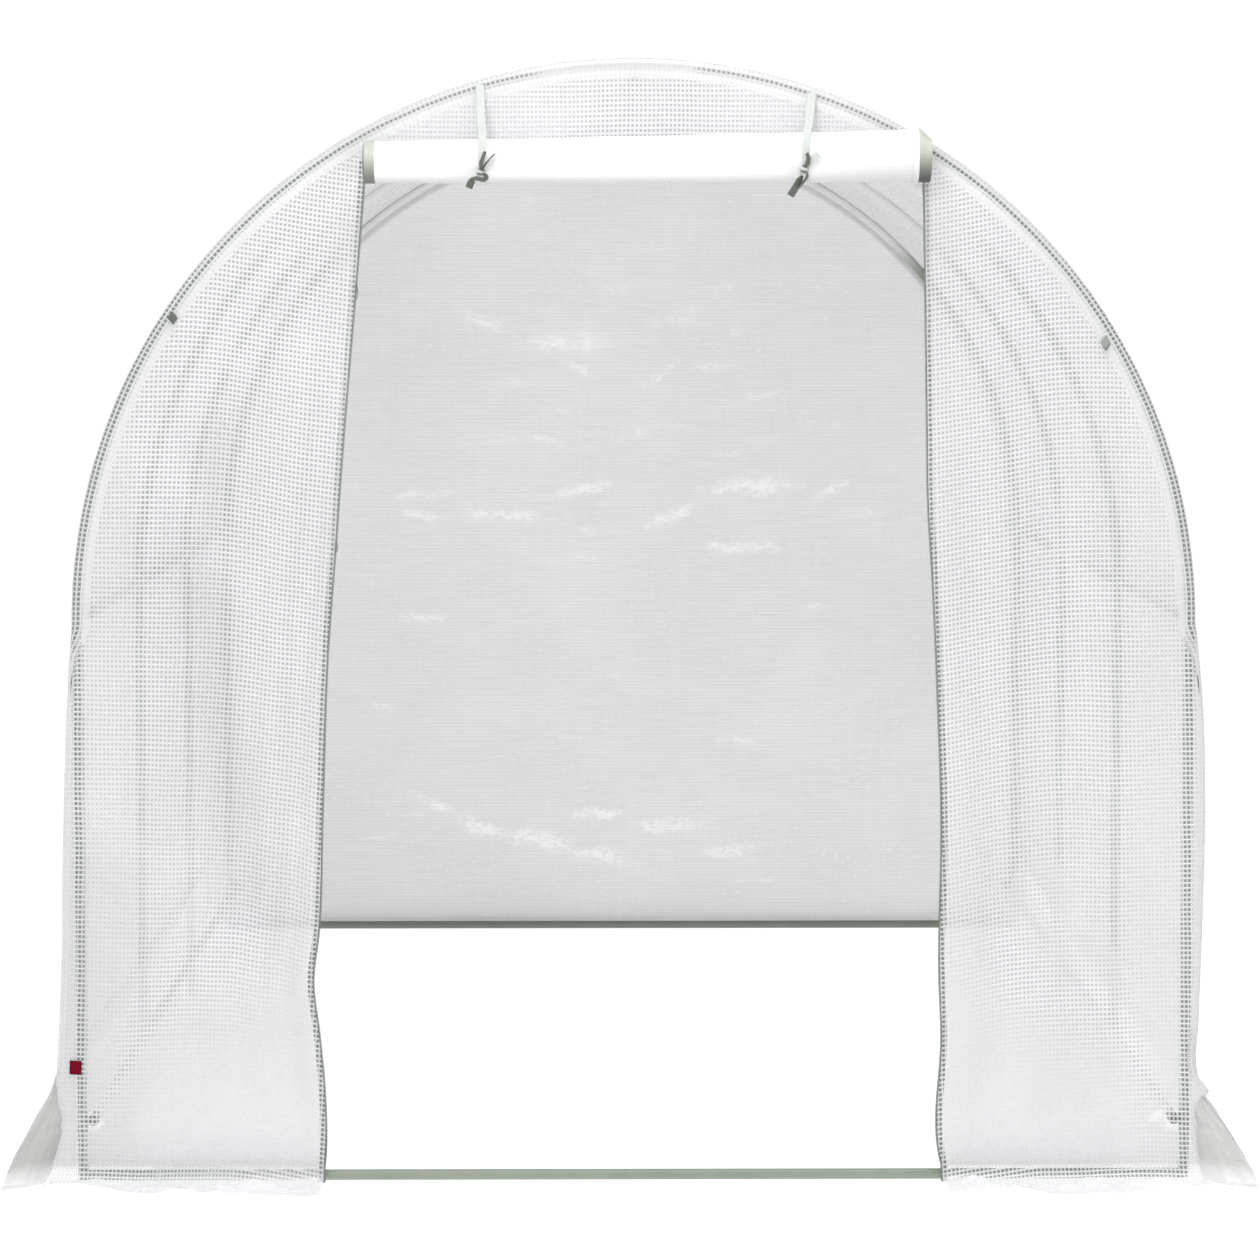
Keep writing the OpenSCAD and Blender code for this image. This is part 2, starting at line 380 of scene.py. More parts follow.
def skirt_material():
    g = Graph("film_skirt_shaded")
    thread, height, tu, tv = scrim(g)
    p = g.uv()
    cloud = g.tex(p, 5.0, 2.0, flat=True)
    fine = g.tex(p, 70.0, 2.0, flat=True)
    # a plainer, darker grey than the cover's film: the grey is painted shade for the flaps
    base = g.mix(thread, (0.588, 0.585, 0.576), (0.600, 0.596, 0.586))
    base = g.mix(g.ramp(cloud, 0.35, 0.75, 0.0, 0.3), base, (0.535, 0.53, 0.52))
    tint = g.t.nodes.new("ShaderNodeVectorMath")
    tint.operation = "SCALE"
    g.put(tint.inputs[0], base)
    g.put(tint.inputs["Scale"], g.math("MULTIPLY_ADD", g.attr("shade"), -0.16, 1.0))
    base = g.mix(g.math("MULTIPLY", g.attr("hem"), 0.85), tint.outputs[0], (0.86, 0.86, 0.855))
    alpha = g.math("MAXIMUM", g.fmix(thread, 0.95, 0.97), g.attr("hem"))
    normal = g.bump(fine, 0.0007, 0.4, g.bump(height, 0.0002, 0.12))
    body = g.principled(base, g.ramp(fine, 0.3, 0.7, 0.26, 0.4), normal, **{"Specular IOR Level": 0.55})
    back = g.simple("ShaderNodeBsdfTranslucent", base, normal)
    clear = g.simple("ShaderNodeBsdfTransparent", (1.0, 1.0, 1.0))
    return g.done(g.shader_mix(alpha, clear, g.shader_mix(0.16, body, back)))


SKIRT = skirt_material()


def roll_material():
    g = Graph("film_rolled")
    thread, height, tu, tv = scrim(g)
    p = g.coords()
    cloud = g.tex(p, 14.0, 4.0)
    fine = g.tex(p, 90.0, 3.0)
    base = g.mix(thread, (0.905, 0.91, 0.915), (0.955, 0.955, 0.955))
    base = g.mix(g.ramp(cloud, 0.4, 0.8, 0.0, 0.2), base, (0.87, 0.87, 0.865))
    tint = g.t.nodes.new("ShaderNodeVectorMath")
    tint.operation = "SCALE"
    g.put(tint.inputs[0], base)
    g.put(tint.inputs["Scale"], g.math("MULTIPLY_ADD", g.attr("shade"), -0.34, 1.0))
    base = tint.outputs[0]
    normal = g.bump(fine, 0.0006, 0.4, g.bump(height, 0.0002, 0.5))
    return g.done(g.principled(base, g.ramp(fine, 0.3, 0.7, 0.27, 0.42), normal, **{"Specular IOR Level": 0.55}))


ROLL = roll_material()


def tube_material(name, k=1.0, pale_top=False):
    """Grey-green paint; the inner arches turn pale above 1.62 m, towards the roof."""
    g = Graph(name)
    p = g.coords()
    mottle = g.tex(p, 11.0, 5.0, 0.6)
    peel = g.tex(p, 420.0, 2.0)
    scratch = g.tex(g.t.nodes.new("ShaderNodeTexCoord").outputs["Object"], 55.0, 6.0, 0.75)
    base = g.mix(g.ramp(mottle, 0.3, 0.7), (0.225 * k, 0.262 * k, 0.212 * k), (0.262 * k, 0.298 * k, 0.246 * k))
    base = g.mix(g.ramp(scratch, 0.66, 0.74, 0.0, 0.5), base, (0.34 * k, 0.37 * k, 0.32 * k))
    if pale_top:
        place = g.t.nodes.new("ShaderNodeNewGeometry").outputs["Position"]
        base = g.mix(g.ramp(g.split(place)[2], 1.62, 1.74), base, (0.84, 0.85, 0.835))
    normal = g.bump(peel, 0.00018, 0.5)
    return g.done(g.principled(base, g.ramp(mottle, 0.3, 0.75, 0.30, 0.46), normal, **{"Specular IOR Level": 0.5}))


TUBE = tube_material("tube_paint")
TUBE_INNER = tube_material("tube_paint_inner", 1.0, True)
# k scales the paint: the rear ground bar is a darker copy, painted shade, and the front ground bar a lighter copy,
# painted light
TUBE_REAR_SHADED = tube_material("tube_paint_rear_shaded", 0.66)
TUBE_FRONT_LIT = tube_material("tube_paint_front_lit", 1.14)


def woven_material(name, light, dark, scale=1500.0, rough=0.8, sheen=0.25, gloss=0.5):
    """Narrow woven ribbon: fine twill from its own length and width."""
    g = Graph(name)
    u, v, _ = g.split(g.uv())
    a = g.math("SINE", g.math("MULTIPLY", g.math("ADD", u, v), scale * 2.4))
    b = g.math("SINE", g.math("MULTIPLY", g.math("SUBTRACT", u, v), scale * 1.1))
    w = g.math("MULTIPLY_ADD", g.math("ADD", a, b), 0.25, 0.5)
    cloud = g.tex(g.coords(), 40.0, 4.0)
    base = g.mix(g.math("MULTIPLY", g.math("ADD", w, cloud), 0.5), dark, light)
    tint = g.t.nodes.new("ShaderNodeVectorMath")
    tint.operation = "SCALE"
    g.put(tint.inputs[0], base)
    g.put(tint.inputs["Scale"], g.math("MULTIPLY_ADD", g.attr("shade"), -0.9, 1.0))
    normal = g.bump(w, 0.0002, 0.9)
    return g.done(g.principled(tint.outputs[0], rough, normal, **{"Sheen Weight": sheen, "Sheen Roughness": 0.5, "Specular IOR Level": gloss}))


# One ribbon in copies: a lighter one for the straps, painted light; a darker one for most knots and tails, the zip
# loops and the left tab, painted shade; and a middle one for the right tab, painted light
WEB_LIT = woven_material("ribbon", (0.65, 0.685, 0.655), (0.53, 0.56, 0.535))
WEB_SHADED = woven_material("ribbon_shaded", (0.19, 0.22, 0.18), (0.045, 0.055, 0.042), sheen=0.12)
TAB = woven_material("ribbon_tab_lit", (0.40, 0.435, 0.40), (0.20, 0.22, 0.20), sheen=0.1)
TAPE = woven_material("zip_tape", (0.26, 0.30, 0.255), (0.15, 0.18, 0.145), rough=0.7)
# the rolled tape is a lighter copy of the zip tape, painted light
ROLL_TAPE_LIT = woven_material("zip_tape_rolled_lit", (0.58, 0.61, 0.55), (0.45, 0.485, 0.425), rough=0.6, sheen=0.1)
TAG = woven_material("tag_weave", (0.215, 0.0045, 0.020), (0.130, 0.002, 0.011), rough=0.85, sheen=0.0, gloss=0.08)


def plastic_material(name, a, b, rough=0.35):
    g = Graph(name)
    p = g.coords()
    n = g.tex(p, 180.0, 4.0)
    base = g.mix(n, a, b)
    return g.done(g.principled(base, g.ramp(n, 0.3, 0.7, rough - 0.05, rough + 0.12), g.bump(n, 0.0001, 0.4)))


TEETH = plastic_material("zip_teeth", (0.13, 0.155, 0.125), (0.22, 0.25, 0.21))
DARK = plastic_material("dark_plastic", (0.035, 0.038, 0.036), (0.075, 0.08, 0.075), 0.4)


def steel_material():
    g = Graph("zinc_bolts")
    p = g.coords()
    n = g.tex(p, 130.0, 5.0)
    base = g.mix(n, (0.42, 0.43, 0.43), (0.62, 0.63, 0.62))
    return g.done(g.principled(base, g.ramp(n, 0.3, 0.7, 0.25, 0.45), g.bump(n, 0.0001, 0.4), **{"Metallic": 0.9}))


STEEL = steel_material()


def piece(ob, material, nodes=()):
    ob.data.materials.clear()
    ob.data.materials.append(material)
    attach(ob, "root")
    if nodes:
        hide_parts(*nodes)
    return ob


# ---------------------------------------------------------------- the camera
# Read off the photograph: hoop widths and the two ground bars give distance,
# height and lens.
cam = bpy.data.objects.new("camera", bpy.data.cameras.new("camera"))
scene.collection.objects.link(cam)
cam.location = (-0.0762, -8.7443, 1.5657)
cam.rotation_euler = (math.pi / 2 - 0.07916, 0.0, -0.00948)
cam.data.sensor_width = 36.0
cam.data.lens = 117.0
cam.data.clip_start, cam.data.clip_end = 0.1, 200.0
scene.camera = cam
scene.cycles.max_bounces = 7
scene.cycles.diffuse_bounces = 3
scene.cycles.glossy_bounces = 2
scene.cycles.transmission_bounces = 4
scene.cycles.transparent_max_bounces = 8
scene.cycles.light_sampling_threshold = 0.06
scene.cycles.caustics_reflective = False
scene.cycles.caustics_refractive = False

# ---------------------------------------------------------------- sizes, as in the part's source
R = 1.0
RF = 0.9985          # the film where it lies on the hoops
WALL = 1.0           # spring line
HOOP_R = 0.9875
END_Y = 1.4875
HOOPS = np.array([-END_Y, -END_Y / 3, END_Y / 3, END_Y])
ROLL_Y, ROLL_Z, ROLL_X, ROLL_R, ROLL_L = -1.546, 1.819, 0.020, 0.044, 1.006

# Side walls and skirts in section: distance out, by height
out_left = smooth_curve(
    [0.000, 0.018, 0.060, 0.110, 0.165, 0.205, 0.330, 0.620, 0.850, 1.000],
    [1.125, 1.117, 1.098, 1.072, 1.043, 1.032, 1.025, 1.017, 1.0060, 0.9985],
)
out_right = smooth_curve(
    [0.000, 0.018, 0.060, 0.095, 0.140, 0.180, 0.297, 0.458, 0.677, 0.860, 1.000],
    [1.112, 1.104, 1.080, 1.060, 1.026, 1.013, 1.013, 1.017, 1.020, 1.0120, 0.9995],
)


def bay(y):
    """How far along its bay a place is, 0 and 1 at the hoops, and the bay's number."""
    k = np.clip(np.searchsorted(HOOPS, y, side="right") - 1, 0, 2)
    return (y - HOOPS[k]) / (HOOPS[k + 1] - HOOPS[k]), k


# ---------------------------------------------------------------- the cover: walls, roof and side skirts in one sheet
def build_cover():
    nz, na, ny = 74, 150, 190
    zl = np.concatenate([np.linspace(0, 0.22, 30, endpoint=False), np.linspace(0.22, WALL, nz - 30, endpoint=False)])
    left = np.stack([-out_left(zl), 0.003 + zl * (1 - 0.003)], -1)
    a = np.linspace(math.pi, 0, na)
    arc = np.stack([RF * np.cos(a), WALL + RF * np.sin(a)], -1)
    right = np.stack([out_right(zl), 0.003 + zl * (1 - 0.003)], -1)[::-1]
    prof = np.concatenate([left, arc, right])
    tang = np.gradient(prof, axis=0)
    tang /= np.linalg.norm(tang, axis=1, keepdims=True)
    norm = np.stack([-tang[:, 1], tang[:, 0]], -1)  # outwards: the section runs from left over the top to the right
    s = np.concatenate([[0], np.cumsum(np.linalg.norm(np.diff(prof, axis=0), axis=1))])
    y0 = np.linspace(-END_Y, END_Y, ny)
    S, Y = np.meshgrid(s, y0, indexing="ij")
    Z = prof[:, 1][:, None] * np.ones_like(Y)
    low = 1 - step(0.02, 0.20, Z)
    # skirts run on past the end panels
    Y2 = Y * (1 + 0.044 * low)
    t, k = bay(Y)
    per_bay = np.array([0.011, 0.008, 0.010])[k]
    sag = per_bay * (1 - (2 * t - 1) ** 2)
    wall = 1 - step(0.85, 1.15, Z)
    sag = sag * (1 - 0.55 * wall) * step(0.16, 0.42, Z)
    at_hoop = np.minimum(np.abs(t), np.abs(1 - t)) * (HOOPS[1] - HOOPS[0])
    free = step(0.0, 0.10, at_hoop)
    ends = step(0.0, 0.06, END_Y - np.abs(Y))
    d = -sag
    d += 0.0045 * fbm(S * 1.6, Y * 1.3, 11, 4) * free
    # pulls that run from hoop to hoop, and the folds left by packing
    d += 0.0030 * fbm(S * 7.0, Y * 0.9 + 3, 23, 3) * free
    cr = creases(S * 2.2 + 5, Y * 2.0, 41, 3)
    d -= 0.0028 * cr * free
    # slack at the foot of the walls
    foot = (1 - step(0.10, 0.75, Z)) * ends
    d += 0.010 * foot * fbm(Y * 5.5 + 1.7 * np.sign(prof[:, 0])[:, None], Z * 1.2, 57, 3)
    skirt = (1 - step(0.03, 0.17, Z))
    d += 0.012 * skirt * fbm(Y * 9.0 + 2, S * 4, 77, 3) * step(0.0, 0.03, Z)
    d = np.minimum(d, 0.0012 + 0.02 * foot)
    # the film stays outside the rails
    d = np.maximum(d, -0.0165)
    P = np.stack([prof[:, 0][:, None] + norm[:, 0][:, None] * d, Y2, np.maximum(Z + norm[:, 1][:, None] * d, 0.0025)], -1)
    hem = np.where(np.minimum(S, s[-1] - S) < 0.022, 0.97, 0.0)
    uv = np.stack([S + 0.004 * fbm(S * 2, Y * 2, 91, 2), Y2 + 0.004 * fbm(S * 2 + 9, Y * 2, 92, 2)], -1)
    # painted shade on the low skirts inside the rear bays; below, painted highlights along the cover's creases
    skirt_shade = 0.9 * (1 - step(0.150, 0.200, Z)) * step(-1.35, -1.0, Y) * step(0.02, 0.05, Z)
    ob = grid_mesh("cover_sheet", P, uv, {"crease_highlight": cr * cr * free, "hem": hem, "shade": skirt_shade})
    piece(ob, FILM, ["cover_left_wall", "cover_roof", "cover_right_wall", "left_skirt", "right_skirt"])
    ob.data.materials.append(SKIRT)
    zc = P[:, :, 2]
    n, m = zc.shape
    low_face = (zc[:-1, :-1] + zc[1:, 1:]) / 2 < 0.185
    side = np.abs(P[:-1, :-1, 0]) > 0.9
    ob.data.polygons.foreach_set("material_index", (low_face & side).reshape(-1).astype(np.int32))
    return ob


cover = build_cover()

# ---------------------------------------------------------------- the front panel, with its doorway
# Edges of the doorway by height, as the film hangs
door_left = smooth_curve(
    [0.000, 0.034, 0.173, 0.272, 0.361, 0.460, 0.653, 0.962, 1.136, 1.399, 1.592, 1.776, 2.050],
    [-0.560, -0.555, -0.554, -0.563, -0.573, -0.562, -0.555, -0.543, -0.529, -0.509, -0.4915, -0.4765, -0.468],
)
door_right = smooth_curve(
    [0.000, 0.048, 0.271, 0.370, 0.652, 0.888, 1.089, 1.204, 1.399, 1.750, 2.050],
    [0.560, 0.548, 0.550, 0.546, 0.548, 0.539, 0.529, 0.521, 0.517, 0.511, 0.508],
)
# Outer border of the panel below the spring line, by height
rim_left = smooth_curve(
    [0.000, 0.056, 0.109, 0.150, 0.197, 0.294, 0.329, 0.620, 0.846, 0.947, 1.000],
    [1.064, 1.043, 1.031, 1.038, 1.034, 1.028, 1.026, 1.018, 1.0090, 1.0025, 0.9985],
)
rim_right = smooth_curve(
    [0.000, 0.050, 0.100, 0.139, 0.1556, 0.185, 0.297, 0.458, 0.677, 0.860, 0.960, 1.000],
    [1.032, 1.022, 1.016, 1.018, 1.032, 1.012, 1.013, 1.017, 1.020, 1.0135, 1.004, 0.9995],
)
EDGE = 0.0105         # the seam turns over the hoop with this radius
FRONT = -(END_Y + EDGE)
PANEL_R = 0.9775      # the end panels reach this far out under the arch's seam


def front_bulge(x, z):
    """How far the front film stands out of its plane."""
    ax = np.abs(x)
    side = np.sign(x)
    rim = np.where(z < WALL, 1.0 - ax, 1.0 - np.sqrt(ax**2 + np.maximum(z - WALL, 0) ** 2))
    held = step(0.012, 0.16, rim)                # sewn to the hoop's rim
    down = step(0.0, 0.10, z)                    # near the ground bar it lies on the bar
    edge = np.where(x < 0, door_left(z), door_right(z))
    from_edge = np.clip(np.abs(x - edge), 0, 1)
    near = np.exp(-((from_edge / 0.20) ** 2))
    d = 0.010 + 0.010 * fbm(x * 2.1 + 4, z * 0.9, 101, 3)
    # upright folds that gather towards the doorway's edge and fade out under the roof
    wave = np.sin(2 * math.pi * (from_edge / (0.115 + 0.03 * side) + 0.55 * fbm(x * 0.7, z * 1.1, 113, 2) + 0.12 * z))
    depth = (0.3 + 0.7 * step(0.1, 0.45, z)) * (1 - 0.75 * step(0.9, 1.7, z))
    d += 0.0085 * wave * near * depth
    d += 0.0065 * fbm(x * 8.5, z * 1.05 + 7, 127, 3) * (1 - 0.5 * step(1.2, 1.8, z))
    d -= 0.0035 * creases(x * 2.6 + 1, z * 1.7, 139, 3)
    # slack drawn down to the corners
    corner = np.exp(-(((1.0 - ax) / 0.20) ** 2)) * np.exp(-(((z - 0.12) / 0.10) ** 2))
    d += 0.016 * corner * fbm((ax + z) * 9, (ax - z) * 3, 151, 3)
    top = step(1.72, 1.85, z)
    d = d * (1 - 0.6 * top)
    return np.maximum(d * held * (0.25 + 0.75 * down), -0.0002)


# painted highlights along the creases of the front film
def front_crease_highlight(x, z):
    return creases(x * 2.6 + 1, z * 1.7, 139, 3) ** 2


plain_left = smooth_curve([0.40, 0.556, 0.60, 0.685, 0.775, 0.8645, 0.92, 0.973, 1.10], [0.50, 0.456, 0.411, 0.330, 0.262, 0.216, 0.143, 0.060, -0.140])
plain_right = smooth_curve([0.40, 0.549, 0.5815, 0.6537, 0.7257, 0.7976, 0.8535, 0.897, 0.9517, 1.10], [0.50, 0.4365, 0.3915, 0.2921, 0.2377, 0.2014, 0.1615, 0.125, 0.0288, -0.200])


def front_haze(x, z, y):
    """How cloudy the cells are, where the weave is lost, where painted shade greys the film along folds, and the
    painted highlights and painted light on it. The film
    is clear only where it lies on something: the front hoop, the ground bar and the zip tape. Low down, below a
    slanting line, the cells are cloudy and the weave fades."""
    ax = np.abs(x)
    r = np.where(z < WALL, ax, np.hypot(x, z - WALL))
    from_edge = np.abs(x - np.where(x < 0, door_left(z), door_right(z)))
    taped = np.where(x < 0, np.maximum(1 - step(1.08, 1.16, z), step(1.70, 1.74, z)), 1 - step(1.42, 1.62, z))
    tape = (1 - step(0.0095, 0.0125, from_edge)) * taped
    shift = np.where(x < 0, 0.0, -0.0025)
    leg = step(0.9800, 0.9825, r - shift) * (1 - step(0.9960, 0.9985, r - 0.2 * shift))
    on_ground = step(0.014, 0.024, FRONT - 0.0006 - y) * (1 - step(0.030, 0.040, z))
    bar = (1 - step(0.024, 0.032, z)) * (1 - on_ground)
    joint = 1 - step(0.014, 0.024, np.hypot(ax - 0.9683, z - 0.110))
    touch = np.maximum(np.maximum(tape, leg), np.maximum(bar, joint))
    floor_line = np.minimum(0.468 + 0.105 * step(0.655, 0.685, ax) * (1 - step(0.775, 0.81, ax)), 0.215 + 1.515 * (0.993 - ax))
    rail = np.exp(-(((z - 0.110 - 1.645 * (0.968 - ax)) / 0.020) ** 2)) * step(0.60, 0.72, ax)
    haze = 0.60 + 0.32 * (1 - step(-0.006, 0.010, z - floor_line)) * (1 - 0.42 * rail)
    # the weave stands out most under the roof and least at the foot and along the legs
    tall = np.interp(z, [0.10, 0.20, 0.35, 0.50, 0.65, 0.85, 1.05, 1.5], [0.10, 0.14, 0.42, 0.50, 0.58, 0.78, 0.96, 1.0])
    low = np.interp(z, [0.10, 0.25, 0.50, 0.62, 0.80, 1.30], [0.25, 0.12, 0.12, 0.24, 0.40, 0.46])
    w = step(0.865, 0.905, ax)
    clear = (tall * (1 - w) + low * w) * np.where(x < 0, 1.0, 0.86) * (1 + 0.34 * fbm(x * 3.0 + 11, z * 1.7, 177, 3))
    edge = np.where(x < 0, plain_left(ax), plain_right(ax)) + 0.035 * fbm(x * 5, z * 3, 157, 3)
    clear = clear + 0.42 * np.exp(-(((z - edge - 0.115) / 0.085) ** 2)) * step(0.60, 0.68, ax) * (1 - step(0.90, 0.95, ax))
    plain = np.maximum(np.clip(1 - clear, 0, 1), 0.92 * (1 - step(-0.060, 0.040, z - edge)) * step(0.036, 0.056, z))
    plain = plain * (1 - 0.55 * rail)
    seam = 0.85 * step(0.9985, 1.0025, r)
    inner = 0.80 * step(0.962, 0.968, r) * (1 - step(0.975, 0.978, r)) * step(1.02, 1.12, z)
    # painted shade: darker bands along deep folds, two on the left panel and one on the right, where the weave is also
    # lost
    wob = 0.018 * fbm(z * 3.1, x * 0 + 2, 167, 2)
    mid = -0.770 + 0.19 * (1.04 - np.clip(z, 0.45, 1.10))
    left = 0.52 * np.exp(-(((x - mid + wob) / 0.055) ** 2)) * step(0.36, 0.56, z) * (1 - step(1.06, 1.26, z))
    left = np.maximum(left, 0.5 * np.exp(-(((x + 0.785 - 0.19 * (z - 1.05) + wob) / 0.026) ** 2)) * step(1.0, 1.12, z) * (1 - step(1.32, 1.46, z)))
    right = 0.16 * np.exp(-(((x - 0.690 + wob) / 0.050) ** 2)) * step(0.42, 0.62, z) * (1 - step(1.14, 1.30, z))
    shade = np.clip(np.where(x < 0, left, right) * (0.85 + 0.5 * fbm(x * 9, z * 5, 173, 2)), 0, 1)
    # painted highlights: a white band inside the seam, a white spot at the right panel's foot, a white band low on the
    # panels, weaker on the right, and the flap on the ground painted white
    white = 3.4 * inner + 3.6 * np.exp(-(((x - 0.936) / 0.014) ** 2) - (((z - 0.117 - 0.35 * (x - 0.936)) / 0.0085) ** 2))
    white = white + np.interp(z, [0.030, 0.050, 0.10, 0.19, 0.30, 0.36], [0.0, 2.4, 2.4, 1.15, 0.25, 0.0]) * (1 - 0.75 * step(0.84, 0.93, ax)) * np.where(x < 0, 1.0, 0.72)
    # over the left half of the ground bar the film stands off and the bar is seen less
    off = np.where(x < 0, 0.38 * step(0.87, 0.80, ax) + 0.45 * np.exp(-(((x + 0.851) / 0.006) ** 2)), 0.0)
    off = np.clip(off + 0.30 * fbm(x * 14, z * 0 + 4, 197, 3), 0, 0.75) * bar * (1 - step(0.965, 0.975, ax))
    # painted light: the right panel brightened all over and more at its outer strip, the left panel's outer strip part
    # way up, and the band inside the seam, most near the crown
    bright = np.where(x < 0, 0.26 * step(0.86, 0.91, ax) * step(0.5, 0.75, z) * (1 - step(1.05, 1.2, z)), 0.20 + 0.38 * step(0.84, 0.90, ax)) + (0.05 + 0.45 * step(1.60, 1.82, z)) * inner
    haze = np.maximum(np.maximum(haze, seam), inner) * (1 - touch) + (0.10 + off) * touch
    plain = np.maximum(np.maximum(np.maximum(plain, seam), inner), 0.4 * shade) * (1 - touch) + off * touch
    haze, plain = np.maximum(haze, 0.94 * on_ground), np.maximum(plain, 0.96 * on_ground)
    return haze, plain, shade - bright, white * (1 - touch) + 2.6 * on_ground


def front_half(name, rim, door, sign, nodes):
    """One side of the front panel with its flap on the ground, in columns from the ground to the roof."""
    nx, nz = 120, 220
    a = np.linspace(0, 1, nx)
    top_r = PANEL_R

    def border(z):
        z = np.minimum(z, 1.0)
        return rim(z) - 0.006 - (rim(1.0) - 0.006 - PANEL_R) * step(0.94, 1.0, z)

    z_top = np.full(nx, 1.0)
    for _ in range(60):
        xr = border(z_top) * sign
        x = xr + (door(z_top) - xr) * a
        z_top = 0.5 * z_top + 0.5 * (WALL + np.sqrt(np.maximum(top_r**2 - x**2, 0)))
    t = np.linspace(0, 1, nz)
    z0 = 0.030
    Z = z0 + (z_top[:, None] - z0) * t[None, :]
    xr = border(Z) * sign
    X = xr + (door(Z) - xr) * a[:, None]
    D = front_bulge(X, Z)
    Y = FRONT - 0.0006 - D
    # the free edge curls a little
    curl = np.exp(-(((1 - a[:, None]) * 0.45 / 0.035) ** 2)) * (1 - step(1.70, 1.80, Z))
    Y = Y - 0.010 * curl * (0.4 + fbm(Z * 3.1, Z * 0 + sign * 3, 163, 2))
    panel = np.stack([X, Y, Z], -1)
    # turn forwards at the ground, then lie on it
    base = panel[:, :1]
    bend = []
    for q in np.linspace(0, math.pi / 2, 9)[1:]:
        b = base.copy()
        b[:, :, 1] -= 0.027 * (1 - math.cos(q))
        b[:, :, 2] -= 0.027 * math.sin(q)
        bend.append(b)
    xb = base[:, 0, 0]
    reach = 0.045 + 0.062 * step(1.02, 0.82, np.abs(xb)) + 0.010 * fbm(xb * 6, xb * 0, 171, 2)
    flap = []
    nl = 26
    for q in np.linspace(0, 1, nl)[1:]:
        b = bend[-1].copy()
        out = reach * q
        b[:, 0, 1] -= out
        b[:, 0, 0] += sign * 0.02 * q * step(0.92, 1.05, np.abs(xb))
        lift = 0.0215 * np.clip(fbm(xb * 9 + 3 * sign, out * 7 + 1, 181, 3) + 0.12, 0, 1) * step(0, 0.25, q)
        lift += 0.006 * creases(xb * 6, out * 9, 187, 2) * step(0, 0.4, q)
        b[:, 0, 2] = 0.0030 + lift
        flap.append(b)
    P = np.concatenate(flap[::-1] + bend[::-1] + [panel], axis=1)
    nb = len(flap) + len(bend)
    # the weave hangs upright, and its rows drop towards the doorway
    L = lengths(P, 1)
    V = np.concatenate([z0 + L[:, :nb] - L[:, nb : nb + 1], Z], axis=1)
    inward = 0.725 - np.abs(P[:, :, 0])
    V = V + 0.19 * 0.5 * (inward + np.sqrt(inward**2 + 0.0016))
    V = V + 0.006 * fbm(P[:, :, 0] * 4, P[:, :, 2] * 1.6, 193, 2)
    lean = 0.024 if sign > 0 else -(0.016 + 0.036 * step(0.95, 0.70, np.abs(P[:, :, 0])))
    U = P[:, :, 0] + lean * (P[:, :, 2] - 1.0) + 0.006 * fbm(P[:, :, 0] * 2, P[:, :, 2] * 1.3, 191, 2)
    uv = np.stack([U, V], -1)
    hem = np.zeros(P.shape[:2])
    hem[:, :4] = 0.95
    # the painted highlights along the creases and the painted white marks go into one attribute
    crease_highlight = np.concatenate([np.zeros((nx, nb)), front_crease_highlight(X, Z)], axis=1)
    haze, plain, shade, white = front_haze(P[:, :, 0], P[:, :, 2], P[:, :, 1])
    attrs = {"crease_highlight": crease_highlight + white, "hem": hem, "haze": haze, "plain": plain, "shade": shade}
    if sign > 0:
        P2, uv, attrs = P[::-1], uv[::-1], {k: v[::-1] for k, v in attrs.items()}
    else:
        P2 = P
    ob = grid_mesh(name, P2, uv, attrs)
    piece(ob, FRONT_FILM, nodes)
    return ob, P, nb


left_front, PL, nbl = front_half("front_sheet_left", rim_left, door_left, -1, ["front_panel_left", "front_left_skirt"])
right_front, PR, nbr = front_half("front_sheet_right", rim_right, door_right, 1, ["front_panel_right", "front_right_skirt"])


def build_front_top():
    nx, nz = 110, 26
    xs = np.linspace(0, 1, nx)
    top_r = PANEL_R
    z_top = np.full(nx, 1.9)
    for _ in range(40):
        x = door_left(z_top) + (door_right(z_top) - door_left(z_top)) * xs
        z_top = WALL + np.sqrt(top_r**2 - x**2)
    t = np.linspace(0, 1, nz)
    Z = 1.795 + (z_top[:, None] - 1.795) * t[None, :]
    X = door_left(Z) + (door_right(Z) - door_left(Z)) * xs[:, None]
    Y = FRONT - 0.0006 - front_bulge(X, Z)
    P = np.stack([X, Y, Z], -1)
    uv = np.stack([X + 0.004 * fbm(X * 2, Z * 2, 191, 2), Z + 0.005 * fbm(X * 2 + 5, Z * 2, 192, 2)], -1)
    rr = np.hypot(X, Z - WALL)
    # painted light and shade: the top panel is whitened all over, more away from the middle and most in the band inside
    # the seam, which is also brightened; the rest is a little darkened by painted shade
    plain = 0.80 * step(0.962, 0.968, rr)
    white = 0.9 + 1.3 * step(0.05, 0.25, np.abs(X - 0.02)) + 2.4 * plain
    ob = grid_mesh("front_sheet_top", P, uv, {"crease_highlight": front_crease_highlight(X, Z) + white, "hem": 0.0, "haze": np.maximum(0.60, plain), "plain": plain, "shade": 0.22 - 0.8 * plain})
    piece(ob, FRONT_FILM, ["front_panel_top"])
    return ob


build_front_top()


